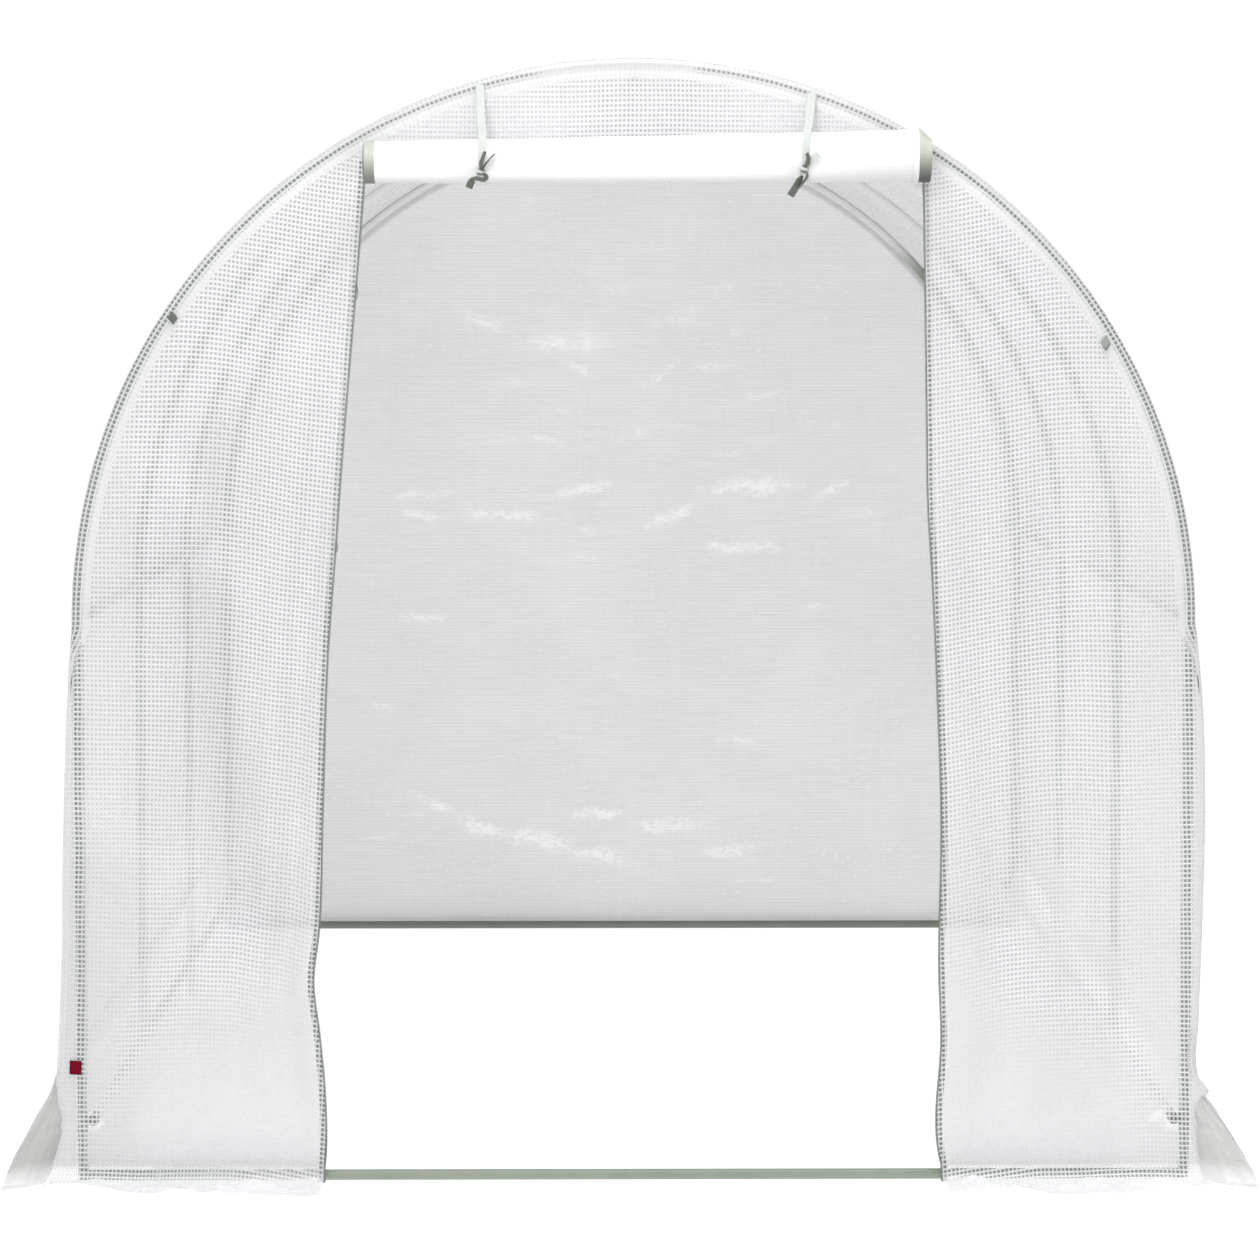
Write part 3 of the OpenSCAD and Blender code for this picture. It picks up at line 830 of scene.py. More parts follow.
def build_gusset(side, sign, out, rim, z_top, nodes=()):
    """The side skirt's front end, turned in to the panel's border and folded forwards on the ground."""
    nu, nz = 34, 46
    t = np.linspace(0, 1, nz) ** 0.8
    z = 0.004 + (z_top - 0.004) * t
    low = 1 - step(0.02, 0.20, z)
    xo, yo = out(z) - 0.0015, -END_Y * (1 + 0.044 * low) - 0.001
    xi, yi = rim(np.minimum(z, 1.0)) - 0.012, np.full(nz, -1.4955)
    u = np.linspace(0, 1, nu)
    X = xo[None] + (xi - xo)[None] * u[:, None]
    Y = yo[None] + (yi - yo)[None] * u[:, None]
    Z = np.broadcast_to(z[None], X.shape).copy()
    span = (xo - xi)[None]
    Y -= 0.16 * span * np.sin(math.pi * u[:, None]) * (0.6 + 0.5 * fbm(u[:, None] * 2.2 + 7, Z * 9, 821, 2))
    crease = np.exp(-(((Z - (0.098 + 0.030 * (u[:, None] - 0.6) + 0.012 * fbm(u[:, None] * 3, Z * 0, 823, 2))) / 0.007) ** 2)) * step(0.25, 0.6, u)[:, None]
    Y += 0.0050 * crease
    Y -= 0.0040 * fbm(u[:, None] * 4 + sign, Z * 18, 827, 3) * np.sin(math.pi * u[:, None])
    fwd = np.clip(1 - Z / 0.036, 0, 1)
    Y -= 0.024 * fwd**2 * (1 + 0.35 * fbm(u[:, None] * 3, Z * 0 + sign, 829, 2))
    rows = [np.stack([sign * X, Y, Z], -1)]
    ground = []
    for q in np.linspace(0, 1, 7)[1:]:
        g_ = rows[0][:, :1].copy()
        g_[:, 0, 1] -= 0.016 * q
        g_[:, 0, 2] = 0.004 + 0.0035 * np.clip(fbm(u * 6 + 2 * sign, u * 0 + q * 2, 831, 2), 0, 1) * q
        ground.append(g_)
    P = np.concatenate(ground[::-1] + rows, axis=1)
    U, V = lengths(P, 0), lengths(P, 1)
    uv = np.stack([U, V], -1)
    hem = 0.97 * (1 - step(0.014, 0.046, P[:, :, 2]))
    if sign > 0:
        P, uv, hem = P[::-1], uv[::-1], hem[::-1]
    # painted shade darkens the left gusset and painted light brightens the right one
    ob = grid_mesh(side + "_skirt_gusset", P, uv, {"crease_highlight": 0.0, "hem": hem, "shade": 0.5 if sign < 0 else -0.4})
    piece(ob, SKIRT, nodes)
    return ob


build_gusset("left", -1, out_left, rim_left, 0.205)
build_gusset("right", 1, out_right, rim_right, 0.158)


def rim_path(n_wall=90, n_arc=170, y_sign=-1, left=rim_left, right=rim_right, z0=0.03):
    """Border of an end panel from the left foot over the roof to the right foot: points and outward directions."""
    z = np.linspace(z0, WALL, n_wall, endpoint=False)
    a = np.linspace(math.pi, 0, n_arc)
    pts = np.concatenate([
        np.stack([-(left(z) - EDGE - 0.0005), z], -1),
        np.stack([HOOP_R * np.cos(a), WALL + HOOP_R * np.sin(a)], -1),
        np.stack([right(z) - EDGE - 0.0005, z], -1)[::-1],
    ])
    dirs = np.concatenate([
        np.stack([-np.ones_like(z), 0 * z], -1),
        np.stack([np.cos(a), np.sin(a)], -1),
        np.stack([np.ones_like(z), 0 * z], -1),
    ])
    return pts, dirs


def build_edge(name, y_sign):
    """The seam: film that turns from the end panel over the end hoop to the cover."""
    if y_sign < 0:
        pts, dirs = rim_path()
    else:
        pts, dirs = rim_path(left=lambda z: out_left(np.maximum(z, 0.16)), right=lambda z: out_right(np.maximum(z, 0.16)))
    cols = []
    # a narrow turn-in on the face of the panel, the turn itself, and a narrow turn-in on the cover
    for lay in (-0.0220, -0.0165, -0.0115, -0.0095, -0.0060, -0.0030):
        cols.append((lay, 0.0, EDGE + 0.0012))
    for q in np.linspace(0, math.pi / 2, 9):
        cols.append((0.0, EDGE * math.sin(q) + 0.0008 * math.sin(q), (EDGE + 0.0012) * math.cos(q)))
    for lay in (0.006, 0.012):
        cols.append((0.0, EDGE + 0.0008, -lay))
    s = np.concatenate([[0], np.cumsum(np.linalg.norm(np.diff(pts, axis=0), axis=1))])
    rows, vs = [], []
    v = 0.0
    for k, (inw, out, fwd) in enumerate(cols):
        ripple = 0.0006 * fbm(s * 30, np.full_like(s, k * 0.3), 203, 2)
        r = inw * (0.10 + 0.90 * step(0.93, 1.0, pts[:, 1])) + out + ripple
        rows.append(np.stack([pts[:, 0] + dirs[:, 0] * r, np.full(len(s), y_sign * (END_Y + fwd)), pts[:, 1] + dirs[:, 1] * r], -1))
    P = np.stack(rows, 1)
    V = lengths(P, 1)
    uv = np.stack([0.845 * s[:, None] + 0 * V, V + 0.0013], -1)
    # painted highlight: at the crown the strip's weave is lost, so it reads plain white over the hoop
    crown = (1 - step(0.13, 0.17, np.abs(pts[:, 0] + 0.03))) * step(1.5, 1.6, pts[:, 1])
    rr = np.where(P[:, :, 2] < WALL, np.abs(P[:, :, 0]), np.hypot(P[:, :, 0], P[:, :, 2] - WALL))
    on_hoop = step(0.9800, 0.9822, rr) * (1 - step(0.9972, 0.9995, rr) * (1 - step(0.97, 1.0, P[:, :, 2])))
    plain = np.maximum(0.9 * (1 - on_hoop), 0.9 * crown[:, None])
    if y_sign < 0:
        outer = step(0.9885, 0.9905, rr)
        plain = np.maximum(plain, np.maximum(0.42 * step(1.78, 1.90, P[:, :, 2]), 0.82 * outer * step(1.50, 1.74, P[:, :, 2])))
    # painted light on the strip inside the hoop, stronger towards the crown
    lit = -(0.10 + 0.45 * step(1.60, 1.82, P[:, :, 2])) * (1 - step(0.9790, 0.9815, rr)) * step(1.0, 1.2, P[:, :, 2])
    ob = grid_mesh(name, P if y_sign < 0 else P[:, ::-1], uv if y_sign < 0 else uv[:, ::-1], {"crease_highlight": 0.0, "hem": 0.0, "haze": plain if y_sign < 0 else plain[:, ::-1], "plain": plain if y_sign < 0 else plain[:, ::-1], "shade": lit if y_sign < 0 else lit[:, ::-1]})
    piece(ob, SEAM_FILM, ())
    return ob


build_edge("front_seam_strip", -1)
build_edge("rear_seam_strip", 1)


# ---------------------------------------------------------------- the rear panel
# Where packing has left crinkles in the rear panel, which also carry painted glints: place, length, height, tilt,
# strength
CRINKLES = [
    (-0.13, 1.470, 0.22, 0.045, 0.00, 0.85), (-0.11, 1.412, 0.10, 0.020, -0.45, 0.80), (-0.28, 1.370, 0.11, 0.030, 0.05, 0.55),
    (-0.34, 1.525, 0.15, 0.030, -0.30, 0.60), (-0.23, 1.832, 0.12, 0.022, 0.05, 0.40), (0.06, 1.700, 0.16, 0.030, 0.10, 0.35),
    (-0.31, 1.232, 0.14, 0.026, -0.10, 0.50), (0.32, 1.114, 0.23, 0.036, 0.05, 0.95), (0.11, 1.036, 0.13, 0.030, 0.40, 0.95),
    (0.29, 0.964, 0.21, 0.026, -0.08, 0.75), (0.525, 1.099, 0.12, 0.022, 0.42, 0.75), (0.60, 1.051, 0.15, 0.016, 0.05, 0.50),
    (0.483, 0.810, 0.035, 0.014, 0.30, 0.70), (-0.30, 1.039, 0.20, 0.026, -0.12, 0.95), (-0.094, 1.109, 0.15, 0.026, 0.15, 0.90),
    (-0.49, 1.092, 0.16, 0.018, 0.10, 0.70), (-0.50, 1.042, 0.13, 0.018, -0.10, 0.75), (-0.493, 0.783, 0.14, 0.020, -0.05, 0.75),
    (-0.09, 0.929, 0.30, 0.026, 0.05, 0.40), (0.29, 0.475, 0.12, 0.018, -0.15, 0.60), (-0.595, 0.556, 0.06, 0.024, -0.25, 0.80),
    (-0.48, 0.316, 0.13, 0.022, -0.42, 0.75), (-0.35, 0.252, 0.12, 0.036, -0.30, 0.95), (-0.21, 0.224, 0.17, 0.042, -0.18, 0.95),
    (-0.047, 0.176, 0.16, 0.036, -0.15, 0.80), (-0.057, 0.290, 0.14, 0.020, 0.00, 0.95), (-0.614, 0.230, 0.10, 0.018, 0.05, 0.55),
    (-0.548, 0.288, 0.12, 0.010, 0.02, 0.60), (0.127, 0.257, 0.16, 0.036, 0.08, 0.90), (0.278, 0.196, 0.14, 0.028, -0.05, 0.75),
    (0.34, 0.120, 0.14, 0.022, 0.00, 0.45), (0.05, 1.250, 0.20, 0.026, 0.15, 0.45), (0.33, 1.330, 0.22, 0.026, 0.30, 0.45),
    (0.50, 1.270, 0.16, 0.020, 0.10, 0.40), (0.20, 1.560, 0.18, 0.028, 0.20, 0.40), (-0.05, 0.640, 0.16, 0.014, 0.00, 0.35),
    (0.089, 1.385, 0.12, 0.018, 0.45, 0.60), (0.229, 1.413, 0.12, 0.030, 0.10, 0.65), (0.257, 1.487, 0.14, 0.018, 0.45, 0.55),
    (0.115, 1.524, 0.14, 0.030, 0.10, 0.50), (0.016, 1.607, 0.20, 0.020, 0.00, 0.45), (0.257, 1.607, 0.06, 0.020, 0.20, 0.45),
    (-0.19, 1.230, 0.10, 0.018, -0.30, 0.60), (-0.142, 1.303, 0.05, 0.016, 0.10, 0.50), (0.258, 1.198, 0.12, 0.016, -0.10, 0.45),
    (-0.058, 1.000, 0.16, 0.020, 0.00, 0.50), (-0.169, 1.098, 0.06, 0.020, -0.40, 0.50), (0.142, 1.261, 0.08, 0.020, 0.15, 0.40),
]


def crinkled(x, z):
    out = np.zeros_like(x)
    wob = 0.014 * fbm(x * 14, z * 14, 351, 3)
    for cx, cz, w, h, tilt, k in CRINKLES:
        c, sn = math.cos(tilt), math.sin(tilt)
        u = (x - cx) * c + (z - cz) * sn
        v = -(x - cx) * sn + (z - cz) * c + wob
        out = np.maximum(out, k * np.exp(-np.abs(u / (0.55 * w)) ** 2.6) * np.exp(-((v / (0.60 * h)) ** 2)))
    return out


def build_rear():
    nx, nz = 230, 230
    xs = np.linspace(-1, 1, nx)
    t = np.linspace(0, 1, nz)
    z0 = 0.030
    top_r = RF - 0.006
    xw = xs * top_r
    z_top = WALL + np.sqrt(np.maximum(top_r**2 - xw**2, 0))
    Z = z0 + (z_top[:, None] - z0) * t[None, :]
    wide = np.where(xs[:, None] < 0, out_left(np.clip(Z, 0.2, 1.0)), out_right(np.clip(Z, 0.2, 1.0))) - 0.006
    X = np.where(Z < WALL, xs[:, None] * (top_r + (wide - top_r) * np.abs(xs[:, None]) ** 3), xw[:, None])
    ax = np.abs(X)
    rim = np.where(Z < WALL, 1.0 - ax, 1.0 - np.sqrt(ax**2 + np.maximum(Z - WALL, 0) ** 2))
    held = step(0.012, 0.15, rim)
    d = 0.010 + 0.008 * fbm(X * 1.3, Z * 1.6, 301, 4)
    # level creases left by folding and by the pull between the legs
    lay = creases(X * 1.9 + 3, Z * 6.5, 317, 3)
    crinkle_glint = crinkled(X, Z)
    d -= 0.0035 * lay
    d += crinkle_glint * (0.0050 * creases(X * 11, Z * 26, 323, 2) - 0.002)
    d += 0.0012 * fbm(X * 3, Z * 30, 337, 3)
    D = np.maximum(d * held, -0.0002)
    Y = -FRONT + 0.0006 + D
    # painted glints along the crinkles, handed to the material
    crease_highlight = np.clip(crinkle_glint * (0.45 + 0.75 * creases(X * 11, Z * 26, 323, 2)), 0, 1) * held
    panel = np.stack([X, Y, Z], -1)
    base = panel[:, :1]
    bend, flap = [], []
    for q in np.linspace(0, math.pi / 2, 9)[1:]:
        b = base.copy()
        b[:, :, 1] += 0.027 * (1 - math.cos(q))
        b[:, :, 2] -= 0.027 * math.sin(q)
        bend.append(b)
    xb = base[:, 0, 0]
    reach = 0.085 + 0.012 * fbm(xb * 6, xb * 0, 341, 2)
    for q in np.linspace(0, 1, 22)[1:]:
        b = bend[-1].copy()
        b[:, 0, 1] += reach * q
        lift = 0.018 * np.clip(fbm(xb * 8 + 3, reach * q * 7 + 1, 347, 3) + 0.10, 0, 1) * step(0, 0.25, q)
        b[:, 0, 2] = 0.0030 + lift
        flap.append(b)
    P = np.concatenate(flap[::-1] + bend[::-1] + [panel], axis=1)
    nb = len(flap) + len(bend)
    V = lengths(P, 1)
    V = V - V[:, nb : nb + 1]
    U = lengths(P, 0)
    U = P[:1, :, 0] + U
    uv = np.stack([U, V], -1)
    hem = np.zeros(P.shape[:2])
    hem[:, :4] = 0.95
    crease_highlight = np.concatenate([np.zeros((nx, nb)), crease_highlight], axis=1)
    ob = grid_mesh("rear_sheet", P[::-1], uv[::-1], {"crease_highlight": crease_highlight[::-1], "hem": hem[::-1]})
    piece(ob, REAR, ["rear_panel", "rear_skirt"])
    return ob


build_rear()


# ---------------------------------------------------------------- the rolled-up door
ROLL_PITCH, ROLL_IN = 0.0033, 0.0085
ROLL_TURNS = (ROLL_R - 0.0015 - ROLL_IN) / ROLL_PITCH


def roll_radius(x):
    """Outside of the roll: it is wound tighter at its left end."""
    return 0.0432 + 0.0100 * x


def roll_z(x):
    return 1.8195 + 0.0120 * x - 0.0015 * np.sin(math.pi * np.clip(x + 0.5, 0, 1))


def roll_spiral(name, x0, x1, nx, material, seed, proud=0.0):
    """A length of the wound door between two places along the roll."""
    per_turn = 44
    th = np.linspace(0, 2 * math.pi * ROLL_TURNS, int(ROLL_TURNS * per_turn))
    r = ROLL_IN + ROLL_PITCH * th / (2 * math.pi)
    xs = np.linspace(x0, x1, nx)
    TH, X = np.meshgrid(th, xs, indexing="ij")
    grow = TH / th[-1]
    RR = r[:, None] + (roll_radius(X) - r[-1]) * grow + proud * grow
    RR = RR + grow**2 * (0.0016 * fbm(X * 6, np.cos(TH) * 0.9 + TH * 0.02, 401, 3) - 0.0012 * creases(X * 5, TH * 0.35, 409, 2))
    a = -TH + th[-1] + math.pi * 0.30
    if x0 > 0.494:
        RR = RR * (1 - 0.36 * np.clip((X - x0) / (x1 - x0) * 1.5 - 0.35, 0, 1) * np.clip(np.sin(a), 0, 1) ** 2)
    if material is ROLL_TAPE_LIT:
        # the zip's coil along the outer edge, as thick as the gap between two turns
        end = -1 if seed >= 5 else 0
        RR[:, end] += 0.0028 * (1 - step(0.86, 0.90, grow[:, end]))
        X[:, end] += -0.0010 if seed >= 5 else 0.0010
    out = 0.0035 * fbm(TH * 0.15 + seed, TH * 0 + 2, 421, 2)
    edge = np.maximum(step(0.02, 0.0, X - x0) if seed < 5 else 0.0, step(0.02, 0.0, x1 - X) if seed >= 5 else 0.0)
    P = np.stack([X + out * edge, ROLL_Y + RR * np.cos(a), roll_z(X) + RR * np.sin(a) * 0.985], -1)
    L = np.concatenate([[0], np.cumsum(np.hypot(np.diff(r), r[1:] * np.diff(th)))])
    uv = np.stack([X, np.broadcast_to(L[:, None], X.shape)], -1)
    # painted shade: the roll is darker on its underside, and so are the tape ends on the outer turn
    if material is ROLL:
        shade = step(-0.50 + 0.45 * step(0.28, 0.44, X), -1.0, np.sin(a))
    else:
        shade = (0.80 if x0 < 0 else 1.0) * step(0.30, -1.0, np.sin(a)) * step(0.84, 0.90, grow)
    ob = grid_mesh(name, P, uv, {"shade": shade})
    piece(ob, material, ["rolled_door"] if x1 - x0 > 0.5 else ())
    return ob


roll_spiral("rolled_door_sheet", -0.455, 0.492, 90, ROLL, 1)
roll_spiral("rolled_zip_left", -0.4735, -0.4535, 8, ROLL_TAPE_LIT, 2, 0.0006)
roll_spiral("rolled_zip_right", 0.4945, 0.5175, 8, ROLL_TAPE_LIT, 7, 0.0008)
roll_spiral("rolled_hem_right", 0.4855, 0.4960, 5, ROLL, 8, 0.0012)


# ---------------------------------------------------------------- ribbons, tapes and the tag
def spline(points, n):
    """A smooth path through points, evenly walked."""
    pts = np.asarray(points, float)
    d = np.concatenate([[0], np.cumsum(np.linalg.norm(np.diff(pts, axis=0), axis=1))])
    q = np.linspace(0, d[-1], n * 4)
    c = np.stack([smooth_curve(d, pts[:, k])(q) for k in range(3)], -1)
    e = np.concatenate([[0], np.cumsum(np.linalg.norm(np.diff(c, axis=0), axis=1))])
    w = np.linspace(0, e[-1], n)
    return np.stack([np.interp(w, e, c[:, k]) for k in range(3)], -1)


def strip(name, path, across, width, material, cols=5, wave=0.0, seed=500, nodes=(), cup=0.0):
    """A ribbon along a path; across gives the way its width runs at each point."""
    path = np.asarray(path, float)
    across = np.broadcast_to(np.asarray(across, float), path.shape).copy()
    across /= np.linalg.norm(across, axis=1, keepdims=True)
    tang = np.gradient(path, axis=0)
    tang /= np.linalg.norm(tang, axis=1, keepdims=True)
    nrm = np.cross(tang, across)
    w = np.broadcast_to(width, len(path)).astype(float)
    q = np.linspace(-0.5, 0.5, cols)
    s = np.concatenate([[0], np.cumsum(np.linalg.norm(np.diff(path, axis=0), axis=1))])
    bulge = wave * fbm(s[:, None] * 60, q[None, :] * 1.5, seed, 2) + cup * (1 - (2 * q[None, :]) ** 2)
    P = path[:, None] + across[:, None] * (q[None, :, None] * w[:, None, None]) + nrm[:, None] * bulge[:, :, None]
    uv = np.stack([np.broadcast_to(s[:, None], bulge.shape), q[None, :] * w[:, None]], -1)
    ob = grid_mesh(name, P, uv)
    piece(ob, material, nodes)
    # the ribbon is 14.5 mm wide, and folded on itself where it is knotted or twisted
    return ob


def blocks(name, centres, along, across, size, material, taper=0.75):
    """Many small chamfered blocks, such as the teeth of a zip."""
    along = along / np.linalg.norm(along, axis=1, keepdims=True)
    across = across - along * (across * along).sum(1, keepdims=True)
    across /= np.linalg.norm(across, axis=1, keepdims=True)
    up = np.cross(along, across)
    corners = []
    for u, k in ((-1, taper), (-0.55, 1.0), (0.55, 1.0), (1, taper)):
        for a, b in ((-1, -1), (1, -1), (1, 1), (-1, 1)):
            corners.append((u, a * k, b * k))
    corners = np.array(corners) * np.asarray(size) / 2
    V = (
        centres[:, None]
        + along[:, None] * corners[None, :, 0:1]
        + across[:, None] * corners[None, :, 1:2]
        + up[:, None] * corners[None, :, 2:3]
    ).reshape(-1, 3)
    one = [(3, 2, 1, 0), (12, 13, 14, 15)]
    for r in range(3):
        for c in range(4):
            c2 = (c + 1) % 4
            one.append((r * 4 + c, r * 4 + c2, r * 4 + 4 + c2, r * 4 + 4 + c))
    one = np.array(one)
    F = (one[None] + 16 * np.arange(len(centres))[:, None, None]).reshape(-1, 4)
    ob = soup(name, V, F)
    piece(ob, material, ())
    return ob


def build_zip(side, P, nb, sign, node):
    """Half of a door zip: a tape behind the film's edge, and its teeth along the edge."""
    rows = P[:, nb - 7 :]
    keep = rows[-1, :, 2] < 1.825
    rows = rows[:, keep]
    n = rows.shape[1]
    cols = []
    toward = -sign
    for off in (-0.0092, -0.0062, -0.0032, -0.0004, 0.0014):
        pts = np.zeros((n, 3))
        for k in range(n):
            x = rows[-1, k, 0] + toward * off
            xs, ys, zs = rows[::-1, k, 0], rows[::-1, k, 1], rows[::-1, k, 2]
            o = np.argsort(xs[:8])
            pts[k] = (x, np.interp(x, xs[:8][o], ys[:8][o]) + (0.0014 if off < 0 else 0.0008), np.interp(x, xs[:8][o], zs[:8][o]))
        cols.append(pts)
    Q = np.stack(cols, 1)
    S = lengths(Q, 0)
    uv = np.stack([S, np.broadcast_to(np.array([-0.0092, -0.0062, -0.0032, -0.0004, 0.0014])[None, :], S.shape)], -1)
    ob = grid_mesh(side + "_zip_tape", Q, uv)
    piece(ob, TAPE, [node])
    edge = Q[:, -1]
    s = np.concatenate([[0], np.cumsum(np.linalg.norm(np.diff(edge, axis=0), axis=1))])
    w = np.arange(0.004, s[-1], 0.0027)
    C = np.stack([np.interp(w, s, edge[:, k]) for k in range(3)], -1)
    T = np.gradient(C, axis=0)
    C = C + np.array([toward * 0.0009, -0.0004, 0.0])
    blocks(side + "_zip_teeth", C, T, np.broadcast_to(np.array([1.0, 0.0, 0.0]), C.shape), (0.0019, 0.0026, 0.0022), TEETH)
    return edge


edge_l = build_zip("left", PL, nbl, -1, "left_door_zip")
edge_r = build_zip("right", PR, nbr, 1, "right_door_zip")


def zip_loop(name, edge, z, tall, toward):
    """A short loop of tape sewn to the zip's edge."""
    k = int(np.argmin(np.abs(edge[:, 2] - z)))
    o = edge[k]
    a = np.linspace(-math.pi / 2, math.pi / 2, 15)
    path = np.stack([o[0] + toward * (0.0042 * np.cos(a) - 0.0006), o[1] - 0.0035 + 0 * a, o[2] + tall / 2 * np.sin(a)], -1)
    return strip(name, path, (0.15, 1.0, 0.0), 0.0075, WEB_SHADED, cols=3, wave=0.0004, seed=611)


zip_loop("zip_loop_upper", edge_l, 1.592, 0.030, 1)
zip_loop("zip_loop_lower", edge_l, 1.136, 0.018, 1)


def roll_point(x, ang, lift):
    """A point over the roll's outside; ang is 180 degrees in front and 90 on top."""
    r = roll_radius(x) + lift
    return (x, ROLL_Y + r * math.cos(math.radians(ang)), roll_z(x) + r * math.sin(math.radians(ang)) * 0.985)


def build_tie(side, top, mid, knot, tails, node):
    """The ribbon that holds the rolled door: sewn to the arch seam, down in front of the roll and behind it, and knotted in front."""
    x0, z0 = top
    xm, xk = mid, knot[0]
    front = [(x0, FRONT - 0.0030, z0), (x0 + (xm - x0) * 0.35, FRONT - 0.030, z0 - 0.040)]
    front += [roll_point(xm + (xk - xm) * t, ang, 0.0022) for t, ang in ((0.0, 142), (0.3, 158), (0.6, 174), (0.8, 190), (1.0, 203))]
    path = spline(front, 60)
    width = np.interp(np.linspace(0, 1, 60), [0, 0.72, 0.9, 1], [0.0145, 0.0145, 0.0095, 0.0055])
    strip("tie_" + side + "_front", path, (1.0, 0.0, 0.0), width, WEB_LIT, wave=0.0010, seed=701, nodes=[node], cup=0.0006)
    back = [(x0, FRONT - 0.0016, z0 - 0.004), (x0 + (xm - x0) * 0.5, FRONT - 0.0022, z0 - 0.07)]
    back += [roll_point(xk, ang, 0.0016) for ang in (-2, -30, -60, -90, -120, -145, -156)]
    strip("tie_" + side + "_behind", spline(back, 60), (1.0, 0.0, 0.0), 0.0140, WEB_LIT, wave=0.0008, seed=709)
    # the knot: two tight turns and a crossing; the middle one is the ribbon's lighter copy, painted light, the other
    # two its darker copy, painted shade
    c = np.array(roll_point(xk, 204, 0.0052))
    for j, (tilt, wide, rr) in enumerate(((0.35, 0.0075, 1.0), (-0.5, 0.0060, 1.18), (1.15, 0.0050, 0.9))):
        a = np.linspace(0, 2 * math.pi, 33)
        loop = np.stack([0.0062 * rr * np.cos(a), 0.0048 * rr * np.sin(a), 0.0018 * np.sin(a + j)], -1)
        ct, st = math.cos(tilt), math.sin(tilt)
        turn = np.stack([loop[:, 0] * ct - loop[:, 2] * st, loop[:, 1], loop[:, 0] * st + loop[:, 2] * ct], -1)
        strip("tie_%s_knot_%d" % (side, j + 1), turn + c, (-st, 0.0, ct), wide, WEB_LIT if j == 1 else WEB_SHADED, cols=4, wave=0.0006, seed=720 + j, cup=0.0008)
    for j, (pts, twist, wide, mat) in enumerate(tails):
        path = spline([c + np.array(q) for q in pts], 26)
        t = np.linspace(0, 1, 26)
        ang = twist[0] + (twist[1] - twist[0]) * t
        tang = np.gradient(path, axis=0)
        tang /= np.linalg.norm(tang, axis=1, keepdims=True)
        side_v = np.cross(tang, (0.0, 1.0, 0.0))
        side_v /= np.linalg.norm(side_v, axis=1, keepdims=True)
        out_v = np.cross(side_v, tang)
        acr = side_v * np.cos(ang)[:, None] + out_v * np.sin(ang)[:, None]
        w = np.interp(t, [0, 0.25, 1], [0.0045, wide, wide])
        strip("tie_%s_tail_%d" % (side, j + 1), path, acr, w, mat, wave=0.0007, seed=740 + j, cup=0.0006)


build_tie(
    "left", (-0.2708, 1.9515), -0.2655, (-0.2678, 1.7978),
    [
        ([(0.001, -0.002, 0.002), (0.008, -0.008, 0.012), (0.0165, -0.010, 0.022), (0.0246, -0.008, 0.0305)], (1.15, 1.35), 0.0120, WEB_SHADED),
        ([(0.0, -0.003, 0.003), (0.001, -0.008, 0.014), (0.005, -0.009, 0.026), (0.0078, -0.008, 0.0345)], (0.9, 1.05), 0.0120, WEB_SHADED),
        ([(0.003, -0.003, -0.002), (0.010, -0.008, -0.010), (0.006, -0.011, -0.014), (-0.008, -0.010, -0.012), (-0.017, -0.008, -0.014)], (0.6, 0.9), 0.0100, WEB_SHADED),
        ([(-0.012, -0.008, -0.013), (-0.017, -0.008, -0.020), (-0.0205, -0.006, -0.0285)], (0.3, 0.0), 0.0125, WEB_SHADED),
    ],
    "door_tie_left",
)
build_tie(
    "right", (0.3121, 1.9379), 0.2985, (0.2949, 1.8049),
    [
        ([(0.001, -0.002, 0.002), (0.008, -0.007, 0.010), (0.016, -0.009, 0.018), (0.0241, -0.008, 0.0252)], (0.5, 0.2), 0.0125, WEB_LIT),
        ([(0.0, -0.003, 0.003), (0.004, -0.008, 0.010), (0.006, -0.009, 0.020), (0.003, -0.008, 0.027)], (0.8, 1.1), 0.0115, WEB_SHADED),
        ([(0.002, -0.003, -0.002), (0.004, -0.009, -0.012), (-0.003, -0.011, -0.024), (-0.011, -0.009, -0.034)], (1.0, 1.25), 0.0110, WEB_SHADED),
        ([(-0.004, -0.006, -0.012), (-0.010, -0.009, -0.022), (-0.017, -0.008, -0.034), (-0.0252, -0.006, -0.0466)], (0.5, 0.15), 0.0130, WEB_SHADED),
    ],
    "door_tie_right",
)


def build_tab(name, x, z, lean, material, nodes=(), shift=0.0, back=0.0, size=1.0):
    """A folded end of ribbon sewn into the arch seam."""
    r = math.hypot(x, z - WALL)
    out = np.array([x / r, 0.0, (z - WALL) / r])
    along = np.array([-out[2], 0.0, out[0]])
    o = np.array([x, FRONT - 0.0022 + back, z]) - out * 0.003 + along * shift
    inn = -out * 0.88 + along * lean
    pts = [o, o + inn * 0.006 + (0, -0.004, 0), o + inn * 0.013 + (0, -0.0065, 0), o + inn * 0.0175 + (0, -0.0055, 0), o + inn * 0.0170 + (0, -0.0030, 0), o + inn * 0.010 + (0, -0.0022, 0), o + inn * 0.003 + (0, -0.0008, 0)]
    return strip(name, spline(pts, 30), along, 0.0145 * size, material, wave=0.0008, seed=801, nodes=nodes)


# The right tab is the ribbon's lighter copy, painted light; under it a strip of the darker copy is a painted shadow
# under the fold.
build_tab("arch_tab_left", -0.8211, 1.551, 0.25, WEB_SHADED, ["arch_tabs"])
build_tab("arch_tab_right", 0.8398, 1.5079, -0.35, TAB)
build_tab("arch_tab_right_underside_shadow", 0.8398, 1.5079, -0.35, WEB_SHADED, shift=-0.0022, back=0.0009)


